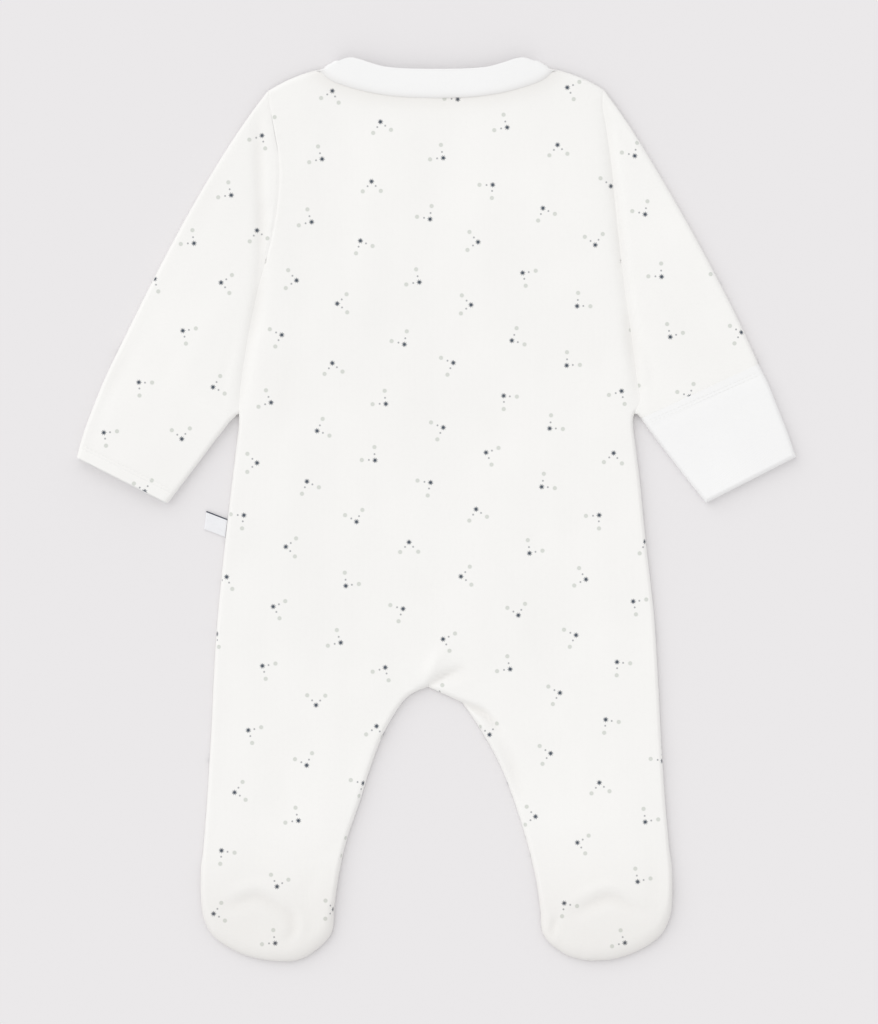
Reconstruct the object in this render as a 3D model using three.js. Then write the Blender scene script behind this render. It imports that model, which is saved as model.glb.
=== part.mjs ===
import * as THREE from 'three';

// A footed baby sleepsuit in the three-month size, laid flat with its back up and its sleeves
// folded down beside the body. Millimetres. X runs across the suit, Y up to the neck, and Z away
// from the surface that it lies on. The origin is on that surface, below the middle of the outline.
// Left and right are the wearer's, which are also the viewer's, because the back faces the viewer.

// Cloth and the way that it lies
const CLOTH = 1.2;             // wall of one layer of cotton jersey
const FOOT_CLOTH = 2.0;        // wall at the feet, where the cloth doubles over
const COLLAR_CLOTH = 1.4;      // wall of the collar, which is made of two layers
const SEAM_GAP = 0.3;          // space between two pieces at a seam, or one piece on another
const LAID_TOP = 6.2;          // height of the upper layer over the surface
const FOOT_TOP = 7.6;          // height of the upper layer over the heels
const CURL = 5.0;              // width of the rounded edge of the upper layer
const UNDER_CURL = 1.8;        // width of the rounded edge under a sleeve
const EDGE_HEIGHT = 2.0;       // height of a sleeve's outermost line over its underside
const UNDER_BEVEL = 0.6;       // bevel under the rim of the layer that lies on the surface
const TOE_Y = -268;            // the bevel ends here, above the toes
const ARMHOLE_GAP = 0.35;      // space between the body and a sleeve
const NECK_RISE = 1.7;         // lift of the suit over the front half of the collar

// Neck, shoulders and collar
const NECK_HALF = 64;          // half the width between the shoulder points of the neck
const NECK_END_Y = 274;        // height on the sheet of the shoulder points of the neck
const NECK_BACK_Y = 266.2;     // middle of the back neckline
const NECK_FRONT_Y = 242.7;    // middle of the front neckline
const COLLAR_HALF = 74.1;      // half the width over the collar's lower edge
const COLLAR_STAND = 1.65;     // distance of the collar's stand from the middle of its height
const COLLAR_FALL = 3.3;       // distance of its fall from the middle of its height
const COLLAR_MIDDLE = 4.0;     // middle of the collar's height
const FRONT_FALL_Y = 228.7;    // lowest line of the front half of the collar
const NECK_GAP = 0.5;          // space between the neckline and the collar's stand
const COLLAR_SPLIT = 0.6;      // half the gap between the collar's two ends at the centre front

// Front opening
const FRONT_LAP = 9;           // reach of each front past the centre line
const LAP_END_Y = -66;         // the lap starts to close here
const LAP_CLOSED_Y = -80;      // and is closed here

// Mittens
const LEFT_END_SWELL = 0.9;    // lift of the left sleeve's upper layer over its mitten
const MITTEN_TUCK = 2.6;       // inset of the right sleeve's end at each side, inside its mitten
const MITTEN_LENGTH = 63;      // length of the right mitten along the sleeve
const MITTEN_INSET = 1.0;      // inset of the left mitten from each edge of its sleeve
const MITTEN_PROUD = [-0.35, -0.7]; // reach of the left mitten past the cuff, in x and y

// Side label
const LABEL = { topY: -5.9, bottomY: -17.1, reach: 13, tilt: 5, wall: 1.0 };

// Body: left side, middle and right side at each level, from the shoulders to the crotch
const trunkColumns = ['leftX', 'leftY', 'middleX', 'middleY', 'rightX', 'rightY'];
const trunk = [
  [-104.5, 259.5, 0, 266.2, 103.5, 260.4],
  [-103.5, 249.6, 0, 255.1, 103.2, 249.6],
  [-100.8, 234.1, 0, 236.5, 105.7, 234.7],
  [-97.7, 214.2, 0, 215.4, 108.5, 214.2],
  [-98.3, 193.1, 0, 193.1, 110.6, 193.1],
  [-101.8, 170.3, 0, 170.2, 112.8, 170.3],
  [-106.2, 153.4, 0, 152.2, 114.6, 153.4],
  [-111.3, 134.8, 0, 133.6, 117, 134.8],
  [-116.9, 107.6, 0, 106.3, 121, 107.6],
  [-121.2, 80.3, 0, 80.3, 124.3, 81.5],
  [-122.5, 65.4, 0, 66.7, 126.2, 67.9],
  [-122.8, 58.6, 0, 58.6, 122.8, 59.2],
  [-123.1, 49.3, 0, 49.3, 122.5, 49.3],
  [-126.8, 18.3, 0, 18.3, 126.2, 18.3],
  [-131.1, -18.9, 0, -18.9, 129.9, -18.9],
  [-135.5, -62.3, -0.9, -59.2, 134.8, -62.3],
  [-137.6, -90.2, -3.4, -88.3, 136.7, -90.2],
  [-138.6, -110.7, -5.3, -110, 137.8, -110.7],
];
const UNDERARM_ROW = 6;

// Legs: outer and inner side at each level, from the crotch round the toes
const legColumns = ['outerX', 'outerY', 'innerX', 'innerY'];
const leftLeg = [
  [-138.6, -110.7, -5.3, -110],
  [-138.9, -120.6, -18.9, -116.9],
  [-139.8, -139.8, -31.9, -136.7],
  [-141.1, -160.3, -41.2, -160.3],
  [-142.3, -180.1, -47.4, -180.1],
  [-144.2, -204.9, -55.8, -204.9],
  [-145.7, -224.8, -60.5, -224.8],
  [-145.4, -244, -63.5, -245.2],
  [-143.5, -254.5, -63.9, -253.9],
  [-138.6, -263.8, -64.8, -260.7],
  [-130.5, -270, -67.9, -266.3],
  [-119.3, -275.6, -75.3, -273.1],
  [-107.6, -278.7, -83.4, -278.1],
  [-99.5, -279.7, -90.8, -279.9],
];
const rightLeg = [
  [137.8, -110.7, -5.3, -110],
  [138.2, -121.5, 13.5, -118.5],
  [139.2, -140.4, 29.4, -139.8],
  [140.4, -159.7, 39.7, -159],
  [141.7, -179.5, 48, -180.1],
  [143.8, -203.7, 55.5, -203.7],
  [145.7, -225.4, 61.4, -226.6],
  [145.4, -246.4, 64.5, -247.1],
  [142.9, -256.4, 65.4, -259.5],
  [138.6, -263.8, 67.9, -265.7],
  [129.9, -270.6, 72.8, -270.6],
  [119.3, -275.6, 81.5, -276.2],
  [113.5, -277.4, 88, -278.1],
  [107.6, -278.9, 94.5, -279.5],
];

// Sleeves: outer and inner edge at each level below the armhole seam, down to the cuff
const sleeveColumns = ['outerX', 'outerY', 'innerX', 'innerY'];
const leftSleeve = [
  [-104.5, 259.5, -106.2, 153.4],
  [-117.5, 242.1, -111.3, 134.8],
  [-132.4, 219.8, -114.4, 120],
  [-149.1, 191.9, -117.8, 103.2],
  [-165.8, 161.5, -120.9, 83.4],
  [-182, 129.9, -123.4, 65.4],
  [-199.3, 94.5, -128.3, 53.6],
  [-206.5, 79, -137.9, 41.9],
  [-213, 62.9, -147.2, 29.4],
  [-218.6, 48, -156.6, 17.1],
  [-222.9, 32.5, -166.5, 4],
];
const rightSleeve = [
  [103.5, 260.4, 114.6, 153.4],
  [120, 237.2, 116.9, 134.2],
  [137.3, 209.2, 119.3, 118.7],
  [155.9, 177, 121.8, 102],
  [172.7, 146, 125.2, 81.5],
  [186.9, 118.1, 128, 64.8],
  [198.4, 90.2, 129.3, 57.4],
  [205.8, 77.8, 138.6, 45.6],
  [211.7, 62.9, 147.9, 31.3],
  [217.6, 48, 157.5, 17.7],
  [222.9, 32.5, 167.1, 4],
];
const CUFF_LEVEL = 10;
const VALLEY_LOW_Y = 68;       // a sleeve lies against the body down to here

// Largest folds of the upper layer: a curve through three places, its half width and its height
const foldColumns = ['fromX', 'fromY', 'viaX', 'viaY', 'toX', 'toY', 'width', 'height'];
const folds = [
  [-110.7, 243.4, -109.4, 209.9, -108.2, 165.2, 4.5, -1.6],
  [-183.8, 105.1, -201.2, 77.2, -214.8, 36.9, 4, -0.6],
  [111.9, 240.3, 120, 226, 128.7, 211.1, 4, -0.6],
  [-4, -108.8, 0.5, -106.5, 6.5, -102.6, 3.5, -1.0],
  [-5.3, -106, -0.9, -96.4, 9.6, -82.2, 7, 0.5],
  [17.1, -122, 39.4, -138, 51.8, -176, 4, -0.8],
  [-131.1, -244, -111.9, -235.9, -89.6, -249.6, 4.5, -0.9],
  [84.6, -245.8, 107.6, -235.9, 127.4, -247.7, 4.5, -0.9],
  [-52.4, 24.5, -56.7, -56.1, -71, -180.1, 9, 0.4],
  [-40, 216.7, -43.7, 167.1, -47.4, 111.3, 9, 0.4],
  [67.3, 49.3, 74.1, 12.1, 71.6, -31.3, 8, 0.4],
  [27, -18.9, 42.5, -49.9, 58, -87.1, 8, 0.5],
];

// Colours of the off-white jersey, the plain white jersey and the woven tab
const jersey = { color: 0xf6f6f2, roughness: 0.9, metalness: 0 };
const whiteJersey = { color: 0xf5f7f8, roughness: 0.88, metalness: 0 };
const wovenTape = { color: 0xf2f4f6, roughness: 0.7, metalness: 0 };

const { lerp, smoothstep, clamp } = THREE.MathUtils;

// Even numbers from a to b, both included
function even(a, b, steps) {
  return Array.from({ length: steps + 1 }, (_, i) => lerp(a, b, i / steps));
}

// One row of a table, at a level between its rows, on a smooth curve through them
function levelOf(table, columns, level) {
  const last = table.length - 1;
  const i = Math.min(Math.floor(level), last - 1);
  const t = level - i;
  const rowAt = (n) => table[clamp(n, 0, last)];
  const row = {};
  columns.forEach((name, c) => {
    const [a, b, d, e] = [rowAt(i - 1)[c], rowAt(i)[c], rowAt(i + 1)[c], rowAt(i + 2)[c]];
    row[name] = b + 0.5 * t * (d - a + t * (2 * a - 5 * b + 4 * d - e + t * (3 * (b - d) + e - a)));
  });
  return row;
}

// Shortest distance from a place to any of some lines
function distanceTo(lines, x, y) {
  let best = Infinity;
  for (const line of lines) {
    for (let i = 0; i + 1 < line.length; i += 1) {
      const [ax, ay] = line[i];
      const [dx, dy] = [line[i + 1][0] - ax, line[i + 1][1] - ay];
      const length2 = dx * dx + dy * dy;
      const t = length2 ? clamp(((x - ax) * dx + (y - ay) * dy) / length2, 0, 1) : 0;
      best = Math.min(best, Math.hypot(x - ax - t * dx, y - ay - t * dy));
    }
  }
  return best;
}

// The x of a line of falling y at a given y
function lineX(line, y) {
  const i = clamp(line.findIndex((p) => p[1] <= y), 1, line.length - 1);
  const [ax, ay] = line[i - 1];
  const [bx, by] = line[i];
  return ay === by ? bx : lerp(ax, bx, clamp((ay - y) / (ay - by), 0, 1));
}

// Fractions across a width, close together where the rim rounds, at one end or at both
function acrossFractions(width, rim, inside, bothEnds) {
  const scale = Math.min(1, (0.3 * width) / rim[rim.length - 1]);
  const near = rim.map((d) => (d * scale) / width);
  const far = bothEnds ? near.map((t) => 1 - t).reverse() : [1];
  return [...near, ...even(near[near.length - 1], far[0], inside).slice(1, -1), ...far];
}

const foldLines = folds.map((values) => {
  const f = Object.fromEntries(foldColumns.map((name, i) => [name, values[i]]));
  const curve = new THREE.CatmullRomCurve3([
    new THREE.Vector3(f.fromX, f.fromY, 0),
    new THREE.Vector3(f.viaX, f.viaY, 0),
    new THREE.Vector3(f.toX, f.toY, 0),
  ]);
  return { line: curve.getPoints(8).map((p) => [p.x, p.y]), width: f.width, height: f.height };
});

function foldHeight(x, y) {
  return foldLines.reduce((sum, fold) => {
    const d = distanceTo([fold.line], x, y) / fold.width;
    return sum + fold.height * Math.exp(-d * d);
  }, 0);
}

// Lift of the whole suit round the neck, where the front of the collar lies beneath it
function riseAt(x, y) {
  const reach = Math.hypot(x / COLLAR_HALF, (272.5 - y) / 43.8);
  return NECK_RISE * (1 - smoothstep(reach, 1.5, 2.2));
}

function clothAt(y) {
  return lerp(FOOT_CLOTH, CLOTH, smoothstep(y, -235, -205));
}

function topAt(x, y) {
  return lerp(FOOT_TOP, LAID_TOP, smoothstep(y, -245, -205)) + foldHeight(x, y);
}

// Height of a layer that rounds down from its top to its rim
function curled(distance, width, top, rim) {
  const t = 1 - clamp(distance / width, 0, 1);
  return rim + (top - rim) * Math.sqrt(1 - t * t);
}

// Triangles between rows of points, whose shared edges are joined by place
class Surface {
  points = [];
  faces = [];
  places = new Map();

  add([x, y, z]) {
    const key = [x, y, z].map((v) => Math.round(v * 1e4)).join();
    if (!this.places.has(key)) {
      this.places.set(key, this.points.length);
      this.points.push([x, y, z]);
    }
    return this.places.get(key);
  }

  rows(grid, turned = false) {
    const ids = grid.map((row) => row.map((p) => this.add(p)));
    for (let r = 0; r + 1 < ids.length; r += 1) {
      for (let c = 0; c + 1 < ids[r].length; c += 1) {
        const [a, b, d, e] = [ids[r][c], ids[r][c + 1], ids[r + 1][c + 1], ids[r + 1][c]];
        this.face(a, e, d, turned);
        this.face(a, d, b, turned);
      }
    }
    return this;
  }

  face(a, b, c, turned) {
    if (a !== b && b !== c && c !== a) this.faces.push(turned ? [a, c, b] : [a, b, c]);
  }

  normals() {
    const sums = this.points.map(() => new THREE.Vector3());
    const [p, q, r] = [new THREE.Vector3(), new THREE.Vector3(), new THREE.Vector3()];
    for (const face of this.faces) {
      p.fromArray(this.points[face[0]]);
      q.fromArray(this.points[face[1]]).sub(p);
      r.fromArray(this.points[face[2]]).sub(p);
      q.cross(r);
      face.forEach((i) => sums[i].add(q));
    }
    return sums.map((n) => n.normalize());
  }
}

// A closed wall between a surface and its other face, which has a point for each of its points
function wallBetween(surface, otherFace) {
  const count = surface.points.length;
  const triangles = [];
  const used = new Map();
  for (const [a, b, c] of surface.faces) {
    triangles.push(a, b, c, a + count, c + count, b + count);
    [[a, b], [b, c], [c, a]].forEach(([s, e]) => used.set(`${s},${e}`, [s, e]));
  }
  for (const [s, e] of used.values()) {
    if (!used.has(`${e},${s}`)) triangles.push(e, s, s + count, e, s + count, e + count);
  }
  const geometry = new THREE.BufferGeometry();
  const positions = [...surface.points, ...otherFace].flat();
  geometry.setAttribute('position', new THREE.Float32BufferAttribute(positions, 3));
  geometry.setIndex(triangles);
  geometry.computeVertexNormals();
  return geometry;
}

// Middle of the points that share a triangle with each point of a surface
function middleOfNeighbours(surface) {
  const sums = surface.points.map(() => [0, 0, 0]);
  for (const face of surface.faces) {
    for (const i of face) {
      for (const j of face) {
        sums[i][0] += surface.points[j][0];
        sums[i][1] += surface.points[j][1];
        sums[i][2] += 1;
      }
    }
  }
  return sums.map(([x, y, count]) => [x / count, y / count]);
}

// A wall of cloth under an outer surface, no lower than the given floor. A corner of the rim, which
// has no room beneath it, takes its thickness towards its neighbours.
function clothInside(surface, floorAt) {
  const normals = surface.normals();
  const middles = middleOfNeighbours(surface);
  const inner = surface.points.map(([x, y, z], i) => {
    const wall = clothAt(y);
    const n = normals[i];
    const point = [x - wall * n.x, y - wall * n.y, Math.max(z - wall * n.z, floorAt(x, y))];
    if (Math.hypot(point[0] - x, point[1] - y, point[2] - z) > wall / 2) return point;
    const [dx, dy] = [middles[i][0] - x, middles[i][1] - y];
    const share = wall / Math.hypot(dx, dy);
    return [x + share * dx, y + share * dy, point[2]];
  });
  return wallBetween(surface, inner);
}

const suit = new THREE.Group();

function piece(name, geometry, finish) {
  const mesh = new THREE.Mesh(geometry, new THREE.MeshStandardMaterial(finish));
  mesh.name = name;
  suit.add(mesh);
}

// Levels of the body and legs at which there is a row of points
const trunkLevels = [0, 0.12, 0.35, 1, 1.7, 2.4, 3, 3.5, 4, 4.5, 5, 5.5, 6, 6.5, 7, 8, 9, 10, 10.5, 11,
  12, 13, 13.5, 14, 14.6, 15, 15.3, 15.6, 16, 16.4, 16.75, 17];
const legLevels = [0, 0.5, 1, 1.5, 2, 3, 4, 5, 5.5, 6, 6.5, 7, 7.5, 8, 9, 10, 11, 12, 12.6, 13];

const trunkRows = trunkLevels.map((level) => levelOf(trunk, trunkColumns, level));
const legRows = {
  left: legLevels.map((level) => levelOf(leftLeg, legColumns, level)),
  right: legLevels.map((level) => levelOf(rightLeg, legColumns, level)),
};
const halfGap = SEAM_GAP / 2;
const bodySide = {
  left: trunkRows.map((row) => [row.leftX + halfGap, row.leftY]),
  right: trunkRows.map((row) => [row.rightX - halfGap, row.rightY]),
};
const seamCount = trunkLevels.indexOf(UNDERARM_ROW) + 1;
const signOf = { left: -1, right: 1 };

// Shoulder seam from the neck to the corner of the shoulder
const shoulder = {
  left: [[-NECK_HALF, NECK_END_Y], bodySide.left[0]],
  right: [[NECK_HALF, NECK_END_Y], bodySide.right[0]],
};

function backNeck(x) {
  return NECK_BACK_Y + (NECK_END_Y - NECK_BACK_Y) * Math.min(1, Math.abs(x) / NECK_HALF) ** 2.2;
}

function frontNeck(x) {
  const t = Math.min(1, Math.abs(x) / NECK_HALF);
  return NECK_FRONT_Y + (NECK_END_Y - NECK_FRONT_Y) * (1 - Math.sqrt(1 - t * t));
}

// Top line of the body: a neckline between two straight shoulders
function topLine(x, neck) {
  if (Math.abs(x) <= NECK_HALF) return neck(x);
  const [end, corner] = x < 0 ? shoulder.left : shoulder.right;
  return lerp(end[1], corner[1], (x - end[0]) / (corner[0] - end[0]));
}

// Places across one half of the body and its leg, from the outer side in. The rows near the top
// follow the neckline and the shoulder.
function halfGrid(side, neck, fractionsOf, lapOf) {
  const half = bodySide[side].map(([x, y], i) => {
    const middle = [trunkRows[i].middleX, trunkRows[i].middleY];
    return { outer: [x, y], inner: [middle[0] + lapOf(middle[1]), middle[1]], share: i / trunkRows.length };
  });
  const first = half[0];
  const leg = legRows[side].slice(1).map((row) => ({
    outer: [row.outerX, row.outerY], inner: [row.innerX, row.innerY], share: 1,
  }));
  return [...half, ...leg].map(({ outer, inner, share }) => {
    const width = Math.hypot(inner[0] - outer[0], inner[1] - outer[1]);
    return fractionsOf(width, share).map((t) => {
      const x = lerp(outer[0], inner[0], t);
      const y = lerp(outer[1], inner[1], t);
      const straight = lerp(first.outer[1], first.inner[1], t);
      const pull = 1 - smoothstep(straight - y, 0, 60);
      return [x, y + pull * (topLine(x, neck) - straight)];
    });
  });
}

// Edges of the body at which its upper layer rounds down: shoulders, sides, crotch and feet
function edgeOfLeg(side) {
  const rows = legRows[side];
  return [...rows.map((r) => [r.outerX, r.outerY]), ...[...rows].reverse().map((r) => [r.innerX, r.innerY])];
}

const bodyEdges = [
  shoulder.left,
  shoulder.right,
  bodySide.left.slice(seamCount - 1),
  bodySide.right.slice(seamCount - 1),
  edgeOfLeg('left'),
  edgeOfLeg('right'),
];
const shoulderRun = {
  left: [...shoulder.left, [leftSleeve[1][0], leftSleeve[1][1]]],
  right: [...shoulder.right, [rightSleeve[1][0], rightSleeve[1][1]]],
};

// Back: one cut from the neck to the toes, over the seat, the legs, the heels and the soles
const rimSteps = [0, 0.6, 1.8, 3.4, CURL];

function backFractions(width, share) {
  const open = acrossFractions(width, rimSteps, 8, false);
  const closed = acrossFractions(width, rimSteps, 4, true);
  return closed.map((t, i) => lerp(open[i], t, share));
}

const backEdges = [...bodyEdges, shoulderRun.left, shoulderRun.right];
const overFront = (x, y) => riseAt(x, y) + clothAt(y) + SEAM_GAP;
const back = new Surface();
for (const side of ['left', 'right']) {
  const grid = halfGrid(side, backNeck, backFractions, () => 0).map((row) => row.map(([x, y]) => {
    return [x, y, curled(distanceTo(backEdges, x, y), CURL, topAt(x, y), overFront(x, y))];
  }));
  back.rows(grid, side === 'right');
}
const backSeam = seamOf(halfGrid('left', backNeck, backFractions, () => 0)[0]);
piece('back_panel', clothInside(back, overFront), jersey);

// Fronts: they lie on the surface, the left one lapped under the right one at the centre
function lapAt(y) {
  return FRONT_LAP * smoothstep(y, LAP_CLOSED_Y, LAP_END_Y);
}

function frontFractions(side) {
  const lapSteps = side === 'right' ? [0, 2 * FRONT_LAP + 1.5, 2 * FRONT_LAP + 9.5] : [0, 8];
  return (width) => {
    const outerEnd = [0, Math.min(4 / width, 0.3)];
    const scale = Math.min(1, (0.35 * width) / lapSteps[lapSteps.length - 1]);
    const innerEnd = lapSteps.map((d) => 1 - (d * scale) / width).reverse();
    return [...outerEnd, ...even(outerEnd[1], innerEnd[0], 5).slice(1, -1), ...innerEnd];
  };
}

function lapLift(side, x, y) {
  if (side === 'left') return 0;
  const across = 1 - smoothstep(x, FRONT_LAP + 1.5, 2 * FRONT_LAP);
  return (CLOTH + SEAM_GAP) * across * smoothstep(y, LAP_CLOSED_Y - 20, LAP_CLOSED_Y - 2);
}

const frontGrids = Object.fromEntries(['left', 'right'].map((side) => {
  const lapOf = (y) => -signOf[side] * (lapAt(y) - halfGap);
  return [side, halfGrid(side, frontNeck, frontFractions(side), lapOf)];
}));
const frontSeams = ['left', 'right'].map((side) => seamOf(frontGrids[side][0].filter(([x]) => x * signOf[side] >= 0)));
const frontSeam = (x) => Math.max(frontSeams[0](x), frontSeams[1](x));

for (const side of ['left', 'right']) {
  const grid = frontGrids[side];
  const upper = new Surface().rows(grid.map((row) => row.map(([x, y]) => {
    return [x, y, riseAt(x, y) + lapLift(side, x, y) + clothAt(y)];
  })), side === 'right');
  const rim = new Set();
  const used = new Set(upper.faces.flatMap(([a, b, c]) => [`${a},${b}`, `${b},${c}`, `${c},${a}`]));
  for (const edge of used) {
    const [a, b] = edge.split(',');
    if (!used.has(`${b},${a}`)) {
      rim.add(Number(a));
      rim.add(Number(b));
    }
  }
  const lower = upper.points.map(([x, y, z], i) => {
    const outward = rim.has(i) && Math.abs(x) > FRONT_LAP + 2 && y > TOE_Y;
    return [x - (outward ? signOf[side] * UNDER_BEVEL * Math.sign(Math.abs(x) - 60) : 0), y, z - clothAt(y)];
  });
  piece(`front_${side}`, wallBetween(upper, lower), jersey);
}

// Sleeves: each one folded piece, flat under and rounded at both edges
const sleeveTable = { left: leftSleeve, right: rightSleeve };

function alongSeam(side) {
  const seam = bodySide[side].slice(0, seamCount);
  const lengths = seam.map((p, i) => (i ? Math.hypot(p[0] - seam[i - 1][0], p[1] - seam[i - 1][1]) : 0));
  const total = lengths.reduce((sum, v) => sum + v, 0);
  return (t) => {
    let run = t * total;
    let i = 1;
    while (i < seam.length - 1 && run > lengths[i]) {
      run -= lengths[i];
      i += 1;
    }
    const k = clamp(run / lengths[i], 0, 1);
    return [lerp(seam[i - 1][0], seam[i][0], k), lerp(seam[i - 1][1], seam[i][1], k)];
  };
}

// The x at which a sleeve ends beside the body, and a point of it moved out as far as that
function besideBody(side, y) {
  return lineX(bodySide[side], y) + signOf[side] * ARMHOLE_GAP;
}

function clearOfBody(side, point) {
  const clear = besideBody(side, point[1]);
  if (point[1] > VALLEY_LOW_Y && (point[0] - clear) * signOf[side] < 0) point[0] = clear;
  return point;
}

// Outer and inner edge of a sleeve at a level. Down to the underarm gap it keeps to the body's side.
function sleeveEdges(side, level) {
  const row = levelOf(sleeveTable[side], sleeveColumns, level);
  const inner = [row.innerX, row.innerY];
  if (inner[1] > VALLEY_LOW_Y) inner[0] = besideBody(side, inner[1]);
  return { outer: [row.outerX, row.outerY], inner };
}

// Places across a sleeve at a level. The first rows follow the curve of the armhole seam.
function sleeveRow(side, level, fractions, inset) {
  const { outer, inner } = sleeveEdges(side, level);
  const seam = alongSeam(side);
  const [shoulderEnd, underarmEnd] = [seam(0), seam(1)];
  const bow = 1 - smoothstep(level, 0, 2.5);
  const width = Math.hypot(inner[0] - outer[0], inner[1] - outer[1]);
  return fractions(width).map((t) => {
    const kept = lerp(inset / width, 1 - inset / width, t);
    const [sx, sy] = seam(kept);
    const x = lerp(outer[0], inner[0], kept) + bow * (sx - lerp(shoulderEnd[0], underarmEnd[0], kept));
    const y = lerp(outer[1], inner[1], kept) + bow * (sy - lerp(shoulderEnd[1], underarmEnd[1], kept));
    return clearOfBody(side, level === 0 ? [sx + signOf[side] * ARMHOLE_GAP, sy] : [x, y]);
  });
}

const upperFractions = (width) => acrossFractions(width, rimSteps, 6, true);
const lowerFractions = (width) => acrossFractions(width, [0, 0.4, UNDER_CURL], 6, true);
const closedFractions = (width) => acrossFractions(width, rimSteps, 4, true);

// One face of a flattened tube, the given distance inside its outer face: an upper and a lower
// sheet that meet along both edges, and at a closed end
function tubeFace(rowsOf, { edgesOf, heights, closed }, depth) {
  const ends = rowsOf(() => [0, 1], depth).map(({ points }) => points);
  const lines = [ends.map((p) => p[0]), ends.map((p) => p[1]), ...edgesOf(ends)];
  const sheet = (fractions, heightOf) => rowsOf(fractions, depth).map(({ points, level }, r, all) => {
    return points.map(([x, y], c) => {
      const atSide = c === 0 || c === points.length - 1;
      const atEnd = closed && r === all.length - 1;
      const distance = atSide || atEnd ? 0 : distanceTo(lines, x, y);
      return [x, y, heightOf(distance, x, y, heights(x, y, level))];
    });
  });
  const [above, beneath] = closed ? [closedFractions, closedFractions] : [upperFractions, lowerFractions];
  const upper = (d, x, y, h) => curled(d, CURL - depth, h.top - depth, h.edge);
  const lower = (d, x, y, h) => curled(d, UNDER_CURL - depth, h.under + depth, h.edge);
  return new Surface().rows(sheet(above, upper), rowsOf.turned).rows(sheet(beneath, lower), !rowsOf.turned);
}

function flatTube(rowsOf, form) {
  return wallBetween(tubeFace(rowsOf, form, 0), tubeFace(rowsOf, form, CLOTH).points);
}

const sleeveLevels = {
  left: [0, 0.15, 0.4, 0.8, 1.3, 1.8, 2.4, 3, 3.6, 4.2, 4.7, 5.2, 5.5, 5.8, 6.1, 6.6, 7.2, 8, 9, 10],
  right: [0, 0.15, 0.4, 0.8, 1.3, 1.8, 2.4, 3, 3.6, 4.2, 4.7, 5.2, 5.5, 5.75, 5.95, 6.5, 7.2, 8, 9, 9.7],
};
const mittenLift = CLOTH + SEAM_GAP;

for (const side of ['left', 'right']) {
  const tuckAt = (level) => smoothstep(level, 5.4, 5.85);
  const tuck = side === 'right' ? MITTEN_TUCK : 0;
  const rowsOf = (fractions, depth) => sleeveLevels[side].map((level) => ({
    points: sleeveRow(side, level, fractions, tuck * tuckAt(level) + depth), level,
  }));
  rowsOf.turned = side === 'right';
  const edgesOf = () => [shoulder[side]];
  const heights = (x, y, level) => {
    const under = riseAt(x, y) + mittenLift * tuckAt(level);
    const swell = side === 'left' ? LEFT_END_SWELL * tuckAt(level) : 0;
    return { under, edge: under + EDGE_HEIGHT, top: topAt(x, y) + swell };
  };
  piece(`sleeve_${side}`, flatTube(rowsOf, { edgesOf, heights }), jersey);
}

// Right mitten: turned over the sleeve's end, so that it closes the cuff
const mittenLevels = [6, 6.35, 7, 7.7, 8.4, 9, 9.45, 9.7, 9.82, 9.91, 9.97, 10];
{
  const rowsOf = (fractions, depth) => mittenLevels.map((level) => {
    const short = (level - mittenLevels[0]) * (depth / MITTEN_LENGTH);
    return { points: sleeveRow('right', level - short, fractions, depth), level };
  });
  rowsOf.turned = true;
  const top = LAID_TOP + SEAM_GAP + CLOTH;
  const heights = () => ({ under: 0, edge: EDGE_HEIGHT + 0.4, top });
  const edgesOf = (ends) => [ends[ends.length - 1]];
  piece('mitt_right', flatTube(rowsOf, { edgesOf, heights, closed: true }), whiteJersey);
}

// Left mitten: turned back under the sleeve's end, flat on the surface
{
  const thin = (width) => acrossFractions(width, [0, UNDER_CURL], 2, true);
  const rows = [6, 7, 8, 9, 10].map((level) => {
    const row = sleeveRow('left', level, thin, MITTEN_INSET);
    const proud = level === CUFF_LEVEL ? MITTEN_PROUD : [0, 0];
    return row.map(([x, y]) => [x + proud[0], y + proud[1]]);
  });
  const upper = new Surface().rows(rows.map((row) => row.map(([x, y]) => [x, y, CLOTH])));
  const lower = upper.points.map(([x, y]) => [x, y, 0]);
  piece('mitt_left', wallBetween(upper, lower), whiteJersey);
}

// Collar: one strip folded over the neckline, from the centre front round the back and again to
// the front. Its stand continues the neckline, and its fall lies on the suit, above and beneath.
function tableLine(table) {
  return (x) => {
    const a = Math.abs(x);
    const i = clamp(table.findIndex((p) => p[0] >= a), 1, table.length - 1);
    const [ax, ay] = table[i - 1];
    const [bx, by] = table[i];
    const t = clamp((a - ax) / (bx - ax), 0, 1);
    return lerp(ay, by, t * t * (3 - 2 * t) * 0.4 + t * 0.6);
  };
}

// Share of the way from the centre to the shoulder, and height on the sheet
const FOLD_END_Y = 278.4;
const EDGE_END_Y = 272.5;
const COLLAR_STANDS = 8;
const backFold = tableLine([[0, 273.1], [0.3, 273.5], [0.51, 274.6], [0.7, 277], [0.89, 280.2], [1, 278]]);
const backEdge = tableLine([[0, 254.5], [0.33, 255.4], [0.55, 257.6], [0.8, 262], [0.93, 265.7], [1, EDGE_END_Y]]);

function frontFold(share) {
  const t = Math.abs(share);
  return lerp(frontSeam(t * NECK_HALF) + COLLAR_STANDS, FOLD_END_Y, t ** 6);
}

function frontEdge(share) {
  return lerp(FRONT_FALL_Y, EDGE_END_Y, 1 - Math.sqrt(1 - share * share));
}

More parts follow.
